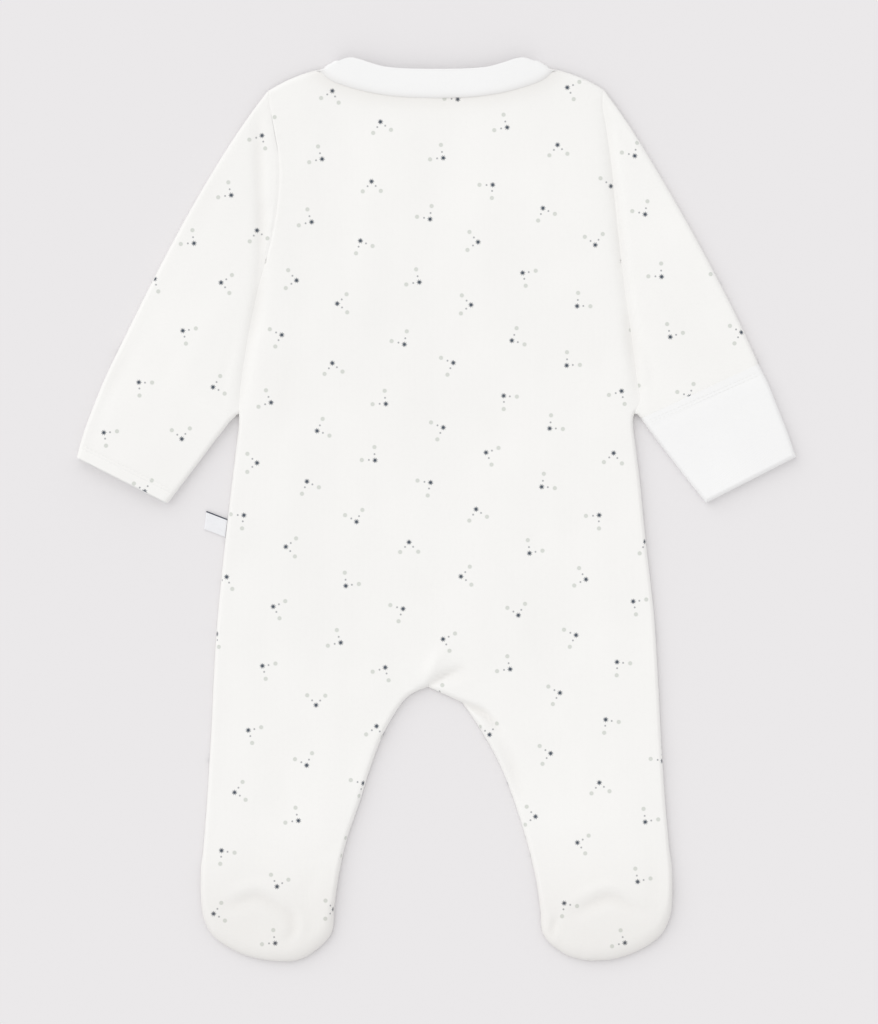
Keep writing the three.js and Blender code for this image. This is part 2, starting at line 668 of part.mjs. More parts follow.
// Height of a neckline, along the straight lines between the points of a panel's top row
function seamOf(row) {
  const line = row.map(([x, y]) => [Math.abs(x), y]).sort((a, b) => a[0] - b[0]);
  return (x) => {
    const i = clamp(line.findIndex((p) => p[0] >= Math.abs(x)), 1, line.length - 1);
    const [ax, ay] = line[i - 1];
    const [bx, by] = line[i];
    return bx === ax ? ay : lerp(ay, by, clamp((Math.abs(x) - ax) / (bx - ax), 0, 1));
  };
}

// Section of the collar: how far each point is from the middle of the height, the half length of
// its line round the neck, and its share of the way from the neckline over the fold to the edge
const wall = COLLAR_CLOTH / 2;
const collarSection = [
  { reach: COLLAR_STAND - wall, half: NECK_HALF - 0.5, line: 'neck', shift: NECK_GAP },
  { reach: COLLAR_STAND - wall, half: 61.3, line: 'fold', shift: -2.2 },
  { reach: COLLAR_STAND - wall + 0.35, half: 61.8, line: 'fold', shift: -0.7 },
  { reach: (COLLAR_STAND + COLLAR_FALL) / 2, half: 63, line: 'fold', shift: 0 },
  { reach: COLLAR_FALL + wall - 0.35, half: 64.2, line: 'fold', shift: -0.6 },
  { reach: COLLAR_FALL + wall, half: 65, line: 'fold', shift: -2.4 },
  { reach: COLLAR_FALL + wall, half: 70, line: 'middle', shift: 0 },
  { reach: COLLAR_FALL + wall, half: COLLAR_HALF, line: 'edge', shift: 0.5 },
  { reach: COLLAR_FALL, half: COLLAR_HALF - 0.3, line: 'edge', shift: 0 },
  { reach: COLLAR_FALL - wall, half: COLLAR_HALF - 1.4, line: 'edge', shift: 0.4 },
  { reach: COLLAR_FALL - wall, half: 68.7, line: 'middle', shift: 0 },
  { reach: COLLAR_FALL - wall, half: 63.6, line: 'fold', shift: -2.8 },
  { reach: (COLLAR_STAND + COLLAR_FALL) / 2, half: 63.1, line: 'fold', shift: -2.2 },
  { reach: COLLAR_STAND + wall, half: 62.7, line: 'fold', shift: -2.8 },
  { reach: COLLAR_STAND + wall, half: NECK_HALF + 0.9, line: 'neck', shift: NECK_GAP },
];
const collarLines = {
  neck: {
    back: (share) => backSeam(share * NECK_HALF),
    front: (share) => frontSeam(share * NECK_HALF),
    end: NECK_END_Y,
  },
  fold: { back: backFold, front: frontFold, end: FOLD_END_Y },
  middle: {
    back: (share) => (backFold(share) + backEdge(share)) / 2,
    front: (share) => (frontFold(share) + frontEdge(share)) / 2,
    end: (FOLD_END_Y + EDGE_END_Y) / 2,
  },
  edge: { back: backEdge, front: frontEdge, end: EDGE_END_Y },
};

// A place on the collar's way round: along the front, over a shoulder, along the back and again
function collarPoint({ reach, half, line, shift }, { run, side, turn }) {
  const straight = half - reach;
  const { back: backLine, front: frontLine, end } = collarLines[line];
  if (turn === undefined) {
    const inFront = side === 'front';
    const x = inFront ? Math.sign(run) * lerp(COLLAR_SPLIT, straight, Math.abs(run)) : run * straight;
    const share = line === 'neck' ? x / NECK_HALF : x / straight;
    const y = (inFront ? frontLine(share) : backLine(share)) + shift;
    return [x, y, COLLAR_MIDDLE + (inFront ? -reach : reach)];
  }
  const x = Math.sign(run) * (straight + reach * Math.sin(turn));
  return [x, end + shift, COLLAR_MIDDLE + reach * Math.cos(turn)];
}

const shoulderTurns = even(0, Math.PI, 6);
const backRuns = even(-1, 1, 20).slice(1, -1);
const frontRuns = [...even(0.001, 0.8, 6), 0.9, 0.96, 0.99];
const collarWay = [
  ...frontRuns.map((run) => ({ run: -run, side: 'front' })),
  ...[...shoulderTurns].reverse().map((turn) => ({ run: -1, turn })),
  ...backRuns.map((run) => ({ run, side: 'back' })),
  ...shoulderTurns.map((turn) => ({ run: 1, turn })),
  ...[...frontRuns].reverse().map((run) => ({ run, side: 'front' })),
];
const collarRings = collarWay.map((place) => collarSection.map((point) => collarPoint(point, place)));

// A closed body from rings of points, with its first and last ring filled
function ringBody(rings) {
  const size = rings[0].length;
  const positions = rings.flat(2);
  const triangles = [];
  for (let r = 0; r + 1 < rings.length; r += 1) {
    for (let c = 0; c < size; c += 1) {
      const [a, b] = [r * size + c, r * size + ((c + 1) % size)];
      triangles.push(a, b, b + size, a, b + size, a + size);
    }
  }
  const flat = rings[0].map(([, y, z]) => new THREE.Vector2(y, z));
  const turn = Math.sign(THREE.ShapeUtils.area(flat));
  const last = (rings.length - 1) * size;
  for (const corners of THREE.ShapeUtils.triangulateShape(flat, [])) {
    const along = Math.sign(THREE.ShapeUtils.area(corners.map((i) => flat[i]))) === turn;
    const [a, b, c] = along ? corners : [...corners].reverse();
    triangles.push(a, c, b, last + a, last + b, last + c);
  }
  const geometry = new THREE.BufferGeometry();
  geometry.setAttribute('position', new THREE.Float32BufferAttribute(positions, 3));
  geometry.setIndex(triangles);
  geometry.computeVertexNormals();
  return geometry;
}
piece('collar', ringBody(collarRings), whiteJersey);

// Side label: a bare woven tab that stands out of the left side seam
{
  const innerAt = (y) => [lineX(bodySide.left, y) - SEAM_GAP - halfGap, y];
  const outerAt = (y) => [lineX(bodySide.left, y) - LABEL.reach, y + LABEL.tilt];
  const corners = [LABEL.topY, LABEL.bottomY].map((y) => [outerAt(y), innerAt(y)]);
  const upper = new Surface().rows(corners.map((row) => row.map(([x, y]) => [x, y, LABEL.wall])));
  const lower = upper.points.map(([x, y]) => [x, y, 0]);
  piece('side_label', wallBetween(upper, lower), wovenTape);
}

export default suit;
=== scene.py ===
import math

import bmesh
import bpy
import numpy as np
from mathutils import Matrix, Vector


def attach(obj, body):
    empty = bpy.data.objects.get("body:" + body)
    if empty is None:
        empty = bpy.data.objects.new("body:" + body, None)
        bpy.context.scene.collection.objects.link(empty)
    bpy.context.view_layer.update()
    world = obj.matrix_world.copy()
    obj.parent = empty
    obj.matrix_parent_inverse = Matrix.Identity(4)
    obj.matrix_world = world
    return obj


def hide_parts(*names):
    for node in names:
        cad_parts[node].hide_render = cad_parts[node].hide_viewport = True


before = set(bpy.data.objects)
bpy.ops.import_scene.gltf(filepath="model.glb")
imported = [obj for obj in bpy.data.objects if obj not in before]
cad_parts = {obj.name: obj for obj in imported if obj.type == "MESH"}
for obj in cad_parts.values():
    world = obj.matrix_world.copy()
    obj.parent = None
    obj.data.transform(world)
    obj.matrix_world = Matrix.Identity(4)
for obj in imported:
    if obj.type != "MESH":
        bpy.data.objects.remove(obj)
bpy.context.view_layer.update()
bpy.ops.object.select_all(action="DESELECT")

# Camera
# The suit is seen from straight above, square to it, through a long lens a few metres up, so
# that the edges of its flat form hardly spread.
MM = 0.001
FRAME_WIDE, FRAME_HIGH = 878, 1024
MM_A_PIXEL = 0.62
FRAME_MIDDLE = (1.55, -1.55)
EDGE_LEVEL = 2.5
FILM, LENS = 36.0, 180.0
camera_data = bpy.data.cameras.new("overhead_camera")
camera = bpy.data.objects.new("overhead_camera", camera_data)
bpy.context.scene.collection.objects.link(camera)
camera_data.sensor_width = FILM
camera_data.lens = LENS
distance = max(FRAME_WIDE, FRAME_HIGH) * MM_A_PIXEL * LENS / FILM
camera.location = Vector((*FRAME_MIDDLE, EDGE_LEVEL + distance)) * MM
camera_data.clip_end = 20
bpy.context.scene.camera = camera

# Table top and studio light
# A pale grey matt top carries the suit. One wide soft light stands at the upper left, and the
# pale room round it fills the shadows.
FLOOR_SIZE = 16.0
FLOOR_LEVEL = -0.1
FLOOR_COLOUR = (0.829, 0.813, 0.821, 1)
KEY_FROM = (-0.62, 0.58, 0.82)
KEY_STRENGTH = 0.74
KEY_SPREAD = math.radians(60)
ROOM_COLOUR = (1.0, 0.998, 1.0, 1)
ROOM_STRENGTH = 0.838
bpy.ops.mesh.primitive_plane_add(size=FLOOR_SIZE, location=(0, 0, FLOOR_LEVEL * MM))
floor = bpy.context.object
floor.name = "table_top"
bpy.ops.object.transform_apply(location=True)
floor_finish = bpy.data.materials.new("matt_table_top")
floor_finish.use_nodes = True
floor_shader = floor_finish.node_tree.nodes["Principled BSDF"]
floor_shader.inputs["Base Color"].default_value = FLOOR_COLOUR
floor_shader.inputs["Roughness"].default_value = 1.0
floor_shader.inputs["Specular IOR Level"].default_value = 0.0
floor.data.materials.append(floor_finish)

key_data = bpy.data.lights.new("key_light", "SUN")
key_data.energy = KEY_STRENGTH
key_data.angle = KEY_SPREAD
key = bpy.data.objects.new("key_light", key_data)
key.rotation_euler = Vector(KEY_FROM).to_track_quat("Z", "Y").to_euler()
bpy.context.scene.collection.objects.link(key)
room = bpy.data.worlds.new("pale_room")
room.use_nodes = True
room_light = room.node_tree.nodes["Background"]
room_light.inputs["Color"].default_value = ROOM_COLOUR
room_light.inputs["Strength"].default_value = ROOM_STRENGTH
bpy.context.scene.world = room
bpy.context.scene.view_settings.view_transform = "Standard"

# Back panel
# One cut of printed cotton jersey from the neck to the toes. It is sewn to the fronts down both
# sides and inside the legs, and lies over them here, with its edges rolled down to the seams.
SEAM_GAP = 0.3
JERSEY = 1.2
FOOT_JERSEY = 2.0
SHELL = 0.9
LAID_TOP, FOOT_TOP = 6.2, 7.6
CURL, TOE_CURL = 2.6, 9.0
VALLEY_LIP = 0.3
SEAM_DIP, SEAM_DIP_HALF = 0.45, 0.9
SHOULDER_BOW = 2.7
NECK_RISE = 1.7
NECK_HALF, NECK_END_Y, NECK_BACK_Y, NECK_FRONT_Y = 64, 274, 266.2, 242.7
COLLAR_HALF, COLLAR_TOP_Y, COLLAR_DEEP = 74.1, 272.5, 43.8
RISE_FADE = (1.5, 2.2)
NECK_PULL = 60
CLOTH_STEP = 2.0
BACK_STEP_IN = 56
# Levels up the suit between which the cloth grows thicker toward the feet, the laid suit grows
# higher, the rolled edge grows wider, and the sides lie against the sleeves
FOOT_CLOTH_Y = (-235, -205)
FOOT_TOP_Y = (-245, -205)
TOE_CURL_Y = (-268, -238)
BESIDE_LOW_Y, BESIDE_HIGH_Y = (58.0, 61.0), (215, 230)

# Left side, middle and right side of the body at each level, from the shoulders to the crotch
TRUNK = np.array([
    [-104.5, 259.5, 0, 266.2, 103.5, 260.4],
    [-103.5, 249.6, 0, 255.1, 103.2, 249.6],
    [-100.8, 234.1, 0, 236.5, 105.7, 234.7],
    [-97.7, 214.2, 0, 215.4, 108.5, 214.2],
    [-98.3, 193.1, 0, 193.1, 110.6, 193.1],
    [-101.8, 170.3, 0, 170.2, 112.8, 170.3],
    [-106.2, 153.4, 0, 152.2, 114.6, 153.4],
    [-111.3, 134.8, 0, 133.6, 117, 134.8],
    [-116.9, 107.6, 0, 106.3, 121, 107.6],
    [-121.2, 80.3, 0, 80.3, 124.3, 81.5],
    [-122.5, 65.4, 0, 66.7, 126.2, 67.9],
    [-122.8, 58.6, 0, 58.6, 122.8, 59.2],
    [-123.1, 49.3, 0, 49.3, 122.5, 49.3],
    [-126.8, 18.3, 0, 18.3, 126.2, 18.3],
    [-131.1, -18.9, 0, -18.9, 129.9, -18.9],
    [-135.5, -62.3, -0.9, -59.2, 134.8, -62.3],
    [-137.6, -90.2, -3.4, -88.3, 136.7, -90.2],
    [-138.6, -110.7, -5.3, -110, 137.8, -110.7],
])
UNDERARM_ROW = 6
# Outer and inner side of each leg at each level, from the crotch round the toes
LEGS = {
    "left": np.array([
        [-138.6, -110.7, -5.3, -110],
        [-138.9, -120.6, -18.9, -116.9],
        [-139.8, -139.8, -31.9, -136.7],
        [-141.1, -160.3, -41.2, -160.3],
        [-142.3, -180.1, -47.4, -180.1],
        [-144.2, -204.9, -55.8, -204.9],
        [-145.7, -224.8, -60.5, -224.8],
        [-145.4, -244, -63.5, -245.2],
        [-143.5, -254.5, -63.9, -253.9],
        [-138.6, -263.8, -64.8, -260.7],
        [-130.5, -270, -67.9, -266.3],
        [-119.3, -275.6, -75.3, -273.1],
        [-107.6, -278.7, -83.4, -278.1],
        [-99.5, -279.7, -90.8, -279.9],
    ]),
    "right": np.array([
        [137.8, -110.7, -5.3, -110],
        [138.2, -119.5, 13.6, -118.6],
        [138.4, -124, 17.6, -122],
        [139.2, -140.4, 29.4, -139.8],
        [140.4, -159.7, 39.7, -159],
        [141.7, -179.5, 48, -180.1],
        [143.8, -203.7, 55.5, -203.7],
        [145.7, -225.4, 61.4, -226.6],
        [145.4, -246.4, 64.5, -247.1],
        [142.9, -256.4, 65.4, -259.5],
        [138.6, -263.8, 67.9, -265.7],
        [129.9, -270.6, 72.8, -270.6],
        [119.3, -275.6, 81.5, -276.2],
        [113.5, -277.4, 88, -278.1],
        [107.6, -278.9, 94.5, -279.5],
    ]),
}
SIDE = {"left": -1, "right": 1}

# Creases and soft ridges of the upper layer, listed one by one: a curve through three places, its
# half width and its height, which is below nought for a trough
CREASES = [
    # valleys between the sleeves and the body
    (-110.7, 243.4, -109.4, 209.9, -108.2, 165.2, 4.0, -1.7),
    (-108.2, 186, -109, 150, -112.5, 112, 4.0, -1.4),
    (-110.5, 132, -117, 98, -123, 60, 4.0, -1.7),
    (104.5, 250, 109.5, 205, 115, 152, 4.0, -1.7),
    (112.5, 172, 117.5, 132, 121.5, 96, 4.0, -1.4),
    (119.5, 118, 122.5, 92, 126, 60, 4.0, -1.7),
    # the sleeves' own soft folds
    (-183.8, 105.1, -201.2, 77.2, -214.8, 36.9, 4, -0.6),
    (111.9, 240.3, 120, 226, 128.7, 211.1, 4, -0.6),
    (-128, 226, -141, 196, -150, 168, 7, -0.35),
    (-118, 150, -137, 118, -158, 88, 8, 0.35),
    (-150, 118, -166, 86, -178, 48, 7, -0.3),
    (-124, 108, -131, 84, -133, 66, 3.5, -0.5),
    (124, 196, 141, 172, 149, 138, 7, -0.35),
    (128, 132, 148, 112, 171, 104, 8, 0.35),
    (126, 104, 132, 88, 133, 70, 3.5, -0.5),
    (166, 158, 172, 138, 180, 120, 5, 0.3),
    # crotch
    (-8.5, -111.5, 4.5, -103, 15.6, -98.3, 2.3, -2.6),
    (0, -108.6, 9, -105.4, 20, -101, 2.6, -0.8),
    (-7, -106, -2, -97, 4, -88, 4.5, 1.4),
    (-18, -112, -24, -98, -36, -84, 5, -0.35),
    (10, -118.5, 28, -125.4, 38, -136, 2.4, -3.0),
    (36, -136, 46, -158, 51.8, -180, 4.5, -1.2),
    (-22, -124, -38, -143, -49, -172, 4.5, 0.4),
    # heels and toes
    (-129, -246.5, -110.5, -241, -91, -252, 4.2, -1.5),
    (-128, -239, -110, -233, -87, -245, 3.6, 0.95),
    (-92, -250, -88.5, -259, -93, -267, 3.2, -1.0),
    (-84.5, -247, -82.5, -257, -85, -267, 3.0, 0.5),
    (86, -250, 107.6, -241, 126, -250, 4.2, -1.5),
    (83, -243.5, 107, -233.5, 128, -244, 3.6, 0.95),
    (74.5, -252, 72.5, -258, 71, -265, 2.4, -1.2),
    (-72, -222, -78, -232, -80, -243, 5, -0.4),
    (134, -214, 137, -230, 134, -246, 5, -0.4),
    (-60, -206, -69, -213, -82, -216, 5, -0.35),
    # long drape of the body and the legs
    (-52.4, 24.5, -56.7, -56.1, -71, -180.1, 9, 0.4),
    (-40, 216.7, -43.7, 167.1, -47.4, 111.3, 9, 0.4),
    (67.3, 49.3, 74.1, 12.1, 71.6, -31.3, 8, 0.4),
    (27, -18.9, 42.5, -49.9, 58, -87.1, 8, 0.5),
    (-86, 120, -95, 60, -100, 8, 9, -0.35),
    (92, 176, 96, 120, 101, 66, 10, -0.3),
    (14, 176, 20, 120, 12, 70, 10, -0.25),
    (-14, 40, -20, -8, -10, -52, 9, -0.25),
    (96, 10, 104, -52, 108, -104, 9, 0.3),
    (-112, -40, -118, -92, -116, -150, 8, 0.3),
    (98, -128, 92, -172, 98, -208, 8, 0.35),
    (-92, -150, -98, -186, -94, -212, 7, -0.3),
    (58, 232, 66, 205, 62, 176, 7, 0.3),
    (-72, 238, -80, 214, -78, 186, 6, 0.3),
    (-30, 248, 0, 245.5, 32, 248.5, 6, 0.25),
]
# Long low waves of cloth that was smoothed by hand: turns a metre across and up, start, height
WAVES = [
    (9.1, 5.3, 0.4, 0.16), (-6.7, 12.4, 1.9, 0.14), (15.8, -3.9, 3.1, 0.10),
    (3.2, 18.6, 4.4, 0.09), (-21.5, 8.2, 0.9, 0.07), (26.3, 14.7, 5.2, 0.05),
    (11.9, -29.4, 2.6, 0.045), (-33.8, -17.1, 3.8, 0.035),
]
# Share of a crease's height that is left at its ends
CREASE_ENDS = 0.35
# Radians a millimetre, start and height of the gathers beside a seam
PUCKER_WAVES = ((1.17, 0, 1), (0.71, 1.3, 0.8), (1.83, 0.4, 0.6))


def smooth(value, low, high):
    share = np.clip((value - low) / (high - low), 0, 1)
    return share * share * (3 - 2 * share)


def mixed(first, second, share):
    return first + (second - first) * share


def along_table(table, level):
    """Rows of a table at levels between its own, on a smooth curve through them."""
    last = len(table) - 1
    start = np.minimum(np.floor(level).astype(int), last - 1)
    t = (level - start)[:, None]
    a, b, c, d = (table[np.clip(start + step, 0, last)] for step in (-1, 0, 1, 2))
    return b + 0.5 * t * (c - a + t * (2 * a - 5 * b + 4 * c - d + t * (3 * (b - c) + d - a)))


def fine_levels(table, step):
    """Levels of a table that put its rows about a step apart."""
    middles = table.reshape(len(table), -1, 2).mean(axis=1)
    levels = [0.0]
    for row, gap in enumerate(np.linalg.norm(np.diff(middles, axis=0), axis=1)):
        count = max(2, math.ceil(gap / step))
        levels += [row + (n + 1) / count for n in range(count)]
    return np.array(levels)


def nearest(lines, x, y):
    """Distance from each place to the nearest of some lines, and how far along them that is."""
    best = np.full(np.shape(x), 1e9)
    place = np.zeros(np.shape(x))
    for line in lines:
        line = np.asarray(line, float)
        run = 0.0
        for (ax, ay), (bx, by) in zip(line[:-1], line[1:]):
            long = math.hypot(bx - ax, by - ay)
            if long == 0:
                continue
            t = np.clip(((x - ax) * (bx - ax) + (y - ay) * (by - ay)) / long**2, 0, 1)
            apart = np.hypot(x - ax - t * (bx - ax), y - ay - t * (by - ay))
            place = np.where(apart < best, run + t * long, place)
            best = np.minimum(best, apart)
            run += long
    return best, place


def curve_through(points, steps=10):
    points = np.array(points, float)
    return along_table(points, np.linspace(0, len(points) - 1, steps + 1))


def crease_height(x, y):
    total = np.zeros(np.shape(x))
    for *places, width, height in CREASES:
        line = curve_through(np.reshape(places, (3, 2)))
        apart, place = nearest([line], x, y)
        long = np.linalg.norm(np.diff(line, axis=0), axis=1).sum()
        fade = CREASE_ENDS + (1 - CREASE_ENDS) * np.sin(np.pi * np.clip(place / long, 0, 1))
        total += height * fade * np.exp(-((apart / width) ** 2))
    for across, up, start, height in WAVES:
        total += height * np.sin(2 * np.pi * (across * x + up * y) * MM + start)
    return total


# Lower edge of the collar's fall, and the painted shade that darkens the white cloth: painted shade in
# its folds, a painted shadow along the collar's lower edge, and painted shade on its feet, darker toward
# the toes
COLLAR_EDGE = [(-74.1, 272.6), (-65.4, 265.7), (-55.5, 262), (-39.4, 257.6), (-22.6, 255.4), (0, 254.5),
               (22.6, 255.4), (41, 257.8), (55, 262), (66, 266.4), (74.1, 272.6)]
FOLD_PAINTED_SHADE, COLLAR_PAINTED_SHADOW, FOOT_PAINTED_SHADE = 0.036, 0.085, 0.105
COLLAR_SHADOW_BELOW, COLLAR_SHADOW_ABOVE = 7.0, 3.0
FOLD_SHADE_FROM, FOLD_SHADE_MOST = 0.3, 3
FOOT_SHADE_REACH = (185, 275)


def painted_shade_at(x, y):
    apart, _ = nearest([COLLAR_EDGE], x, y)
    edge_y = np.interp(x, *np.transpose(COLLAR_EDGE))
    reach = np.where(y > edge_y, COLLAR_SHADOW_ABOVE, COLLAR_SHADOW_BELOW)
    # Painted shade in the troughs of the creases
    painted_shade = FOLD_PAINTED_SHADE * np.clip(-crease_height(x, y) - FOLD_SHADE_FROM, 0, FOLD_SHADE_MOST)
    # Painted shade on the feet, darker toward the toes
    painted_shade = painted_shade + FOOT_PAINTED_SHADE * smooth(-y, *FOOT_SHADE_REACH)
    # Painted shadow along the collar's lower edge, wider on the body below it than on the collar
    return painted_shade + COLLAR_PAINTED_SHADOW * np.exp(-((apart / reach) ** 2))


def rise_at(x, y):
    """Lift of the suit round the neck, where the front of the collar lies beneath it."""
    reach = np.hypot(x / COLLAR_HALF, (COLLAR_TOP_Y - y) / COLLAR_DEEP)
    return NECK_RISE * (1 - smooth(reach, *RISE_FADE))


def jersey_at(y):
    return mixed(FOOT_JERSEY, JERSEY, smooth(y, *FOOT_CLOTH_Y))


def top_at(x, y):
    return mixed(FOOT_TOP, LAID_TOP, smooth(y, *FOOT_TOP_Y)) + crease_height(x, y)


def curl_at(y):
    return mixed(TOE_CURL, CURL, smooth(y, *TOE_CURL_Y))


def beside_sleeve(y):
    """Share of each side that lies against its sleeve, where neither edge rolls down."""
    return smooth(y, *BESIDE_LOW_Y) * (1 - smooth(y, *BESIDE_HIGH_Y))


def over_front(x, y):
    return rise_at(x, y) + jersey_at(y) + SEAM_GAP


def curled(apart, width, top, rim):
    """Height of a layer that rounds down from its top to its rim."""
    t = 1 - np.clip(apart / width, 0, 1)
    return rim + (top - rim) * np.sqrt(1 - t * t)


def puckers(apart, place, reach=7.0, height=0.22):
    """Small uneven gathers that a sewn seam draws into the cloth beside it."""
    waves = sum(high * np.sin(place * rate + start) for rate, start, high in PUCKER_WAVES)
    most = sum(high for _, _, high in PUCKER_WAVES)
    return height * waves / most * np.exp(-apart / reach) * smooth(apart, 0, 1.2)


trunk_levels = fine_levels(TRUNK, CLOTH_STEP)
trunk_rows = along_table(TRUNK, trunk_levels)
leg_rows = {side: along_table(LEGS[side], fine_levels(LEGS[side], CLOTH_STEP)) for side in SIDE}
body_side = {
    "left": trunk_rows[:, 0:2] + (SEAM_GAP / 2, 0),
    "right": trunk_rows[:, 4:6] - (SEAM_GAP / 2, 0),
}
seam_count = int(np.searchsorted(trunk_levels, UNDERARM_ROW)) + 1
bow = np.linspace(0, 1, 9)[:, None]
shoulder = {side: mixed(np.array([(sign * NECK_HALF, NECK_END_Y)]), body_side[side][:1], bow)
            + bow * (1 - bow) * (0, 4 * SHOULDER_BOW) for side, sign in SIDE.items()}


def back_neck(x):
    return NECK_BACK_Y + (NECK_END_Y - NECK_BACK_Y) * np.minimum(1, np.abs(x) / NECK_HALF) ** 2.2


def front_neck(x):
    t = np.minimum(1, np.abs(x) / NECK_HALF)
    return NECK_FRONT_Y + (NECK_END_Y - NECK_FRONT_Y) * (1 - np.sqrt(1 - t * t))


def top_line(x, neck, side):
    line = shoulder[side]
    slope = np.interp(np.abs(x), np.abs(line[:, 0]), line[:, 1])
    return np.where(np.abs(x) <= NECK_HALF, neck(x), slope)


def half_grid(side, neck, shares_of, lap_of):
    """Places across one half of the body and its leg, from the outer side in."""
    middle = trunk_rows[:, 2:4].copy()
    middle[:, 0] += lap_of(middle[:, 1])
    outer = np.vstack([body_side[side], leg_rows[side][1:, 0:2]])
    inner = np.vstack([middle, leg_rows[side][1:, 2:4]])
    share = np.ones(len(outer))
    share[:len(trunk_levels)] = trunk_levels / len(TRUNK)
    wide = np.linalg.norm(inner - outer, axis=1)
    t = np.array([shares_of(w, s) for w, s in zip(wide, share)])
    x = mixed(outer[:, :1], inner[:, :1], t)
    y = mixed(outer[:, 1:], inner[:, 1:], t)
    straight = mixed(outer[0, 1], inner[0, 1], t)
    pull = 1 - smooth(straight - y, 0, NECK_PULL)
    return x, y + pull * (top_line(x, neck, side) - straight)


RIM_STEPS = CURL * np.array([0, 0.04, 0.11, 0.22, 0.36, 0.54, 0.76, 1])
RIM_MOST = 0.3


def across(wide, rim, inside, both_ends):
    """Shares of a width, close together where the rim rounds, at one end or at both."""
    near = rim * min(1, RIM_MOST * wide / rim[-1]) / wide
    far = 1 - near[::-1] if both_ends else np.ones(1)
    return np.concatenate([near, np.linspace(near[-1], far[0], inside + 1)[1:-1], far])


def back_shares(wide, share):
    open_end = across(wide, RIM_STEPS, BACK_STEP_IN + len(RIM_STEPS) - 1, False)
    return mixed(open_end, across(wide, RIM_STEPS, BACK_STEP_IN, True), share)


def edge_of_leg(side):
    return np.vstack([leg_rows[side][:, 0:2], leg_rows[side][::-1, 2:4]])


body_edges = [shoulder["left"], shoulder["right"], edge_of_leg("left"), edge_of_leg("right"),
              body_side["left"][seam_count - 1:], body_side["right"][seam_count - 1:]]
SLEEVE_HEADS = {"left": (-117.5, 242.1), "right": (120, 237.2)}
back_edges = body_edges + [np.vstack([shoulder[side], [SLEEVE_HEADS[side]]]) for side in SIDE]


def unrolled(x, y, z):
    """Lengths along the cloth for its print: places across, plus what the rolled edges hide."""
    steps = np.diff(np.stack([x, y, z], axis=-1), axis=1)
    flat = np.hypot(steps[..., 0], steps[..., 1])
    hidden = np.hypot(flat, steps[..., 2]) - flat
    total = np.pad(np.cumsum(hidden, axis=1), ((0, 0), (1, 0)))
    middle = total[:, [total.shape[1] // 2]]
    outward = np.sign(x[:, -1:] - x[:, :1])
    return np.stack([x + outward * (total - middle), y], axis=-1)


MERGE_WITHIN, THINNEST_FACE = 0.02, 0.005
SOFT_EDGE = math.radians(55)


def cloth_object(name, sheets, shell, finish, floor_of=None):
    """A thin shell of cloth under one or more grids of places in millimetres, with a map of the
    lengths along it, which its knit and its print follow, and the painted shade at each point."""
    mesh = bpy.data.meshes.new(name)
    made = bmesh.new()
    lengths = made.loops.layers.uv.new("cloth")
    for places, uv, turned in sheets:
        rows, columns = places.shape[:2]
        corners = [[made.verts.new(places[r, c] * MM) for c in range(columns)] for r in range(rows)]
        for r in range(rows - 1):
            for c in range(columns - 1):
                ring = [(r, c), (r + 1, c), (r + 1, c + 1), (r, c + 1)]
                ring = ring[::-1] if turned else ring
                face = made.faces.new([corners[i][j] for i, j in ring])
                for loop, (i, j) in zip(face.loops, ring):
                    loop[lengths].uv = uv[i, j] * MM
    bmesh.ops.remove_doubles(made, verts=made.verts, dist=MERGE_WITHIN * MM)
    bmesh.ops.dissolve_degenerate(made, edges=made.edges, dist=THINNEST_FACE * MM)
    made.to_mesh(mesh)
    made.free()
    piece = bpy.data.objects.new(name, mesh)
    bpy.context.scene.collection.objects.link(piece)
    bpy.ops.object.select_all(action="DESELECT")
    piece.select_set(True)
    bpy.context.view_layer.objects.active = piece
    wall = piece.modifiers.new("wall", "SOLIDIFY")
    wall.thickness = shell * MM
    wall.offset = -1
    bpy.ops.object.modifier_apply(modifier=wall.name)
    if floor_of is not None:
        places = np.zeros(len(mesh.vertices) * 3)
        mesh.vertices.foreach_get("co", places)
        places = places.reshape(-1, 3)
        lowest = floor_of(places[:, 0] / MM, places[:, 1] / MM) * MM
        places[:, 2] = np.maximum(places[:, 2], lowest)
        mesh.vertices.foreach_set("co", places.ravel())
        mesh.update()
    corners = np.zeros(len(mesh.vertices) * 3)
    mesh.vertices.foreach_get("co", corners)
    x, y, _ = corners.reshape(-1, 3).T / MM
    # Painted shade at each point, which the finish mixes into the cloth's colour
    painted_shade = mesh.attributes.new("painted_shade", "FLOAT", "POINT")
    painted_shade.data.foreach_set("value", painted_shade_at(x, y).astype(np.float32))
    bpy.ops.object.shade_smooth_by_angle(angle=SOFT_EDGE)
    mesh.materials.append(finish)
    return piece


class Wire:
    """One socket of a finish, on which sums are written as in Python."""

    def __init__(self, finish, socket):
        self.finish = finish
        self.socket = socket

    def math(self, operation, *values):
        return self.finish.node("ShaderNodeMath", {"operation": operation}, values)

    def __add__(self, other):
        return self.math("ADD", self, other)

    __radd__ = __add__

    def __sub__(self, other):
        return self.math("SUBTRACT", self, other)

    def __rsub__(self, other):
        return self.math("SUBTRACT", other, self)

    def __mul__(self, other):
        return self.math("MULTIPLY", self, other)

    __rmul__ = __mul__

    def floor(self):
        return self.math("FLOOR", self)

    def size(self):
        return self.math("ABSOLUTE", self)

    def cosine(self):
        return self.math("COSINE", self)

    def sine(self):
        return self.math("SINE", self)


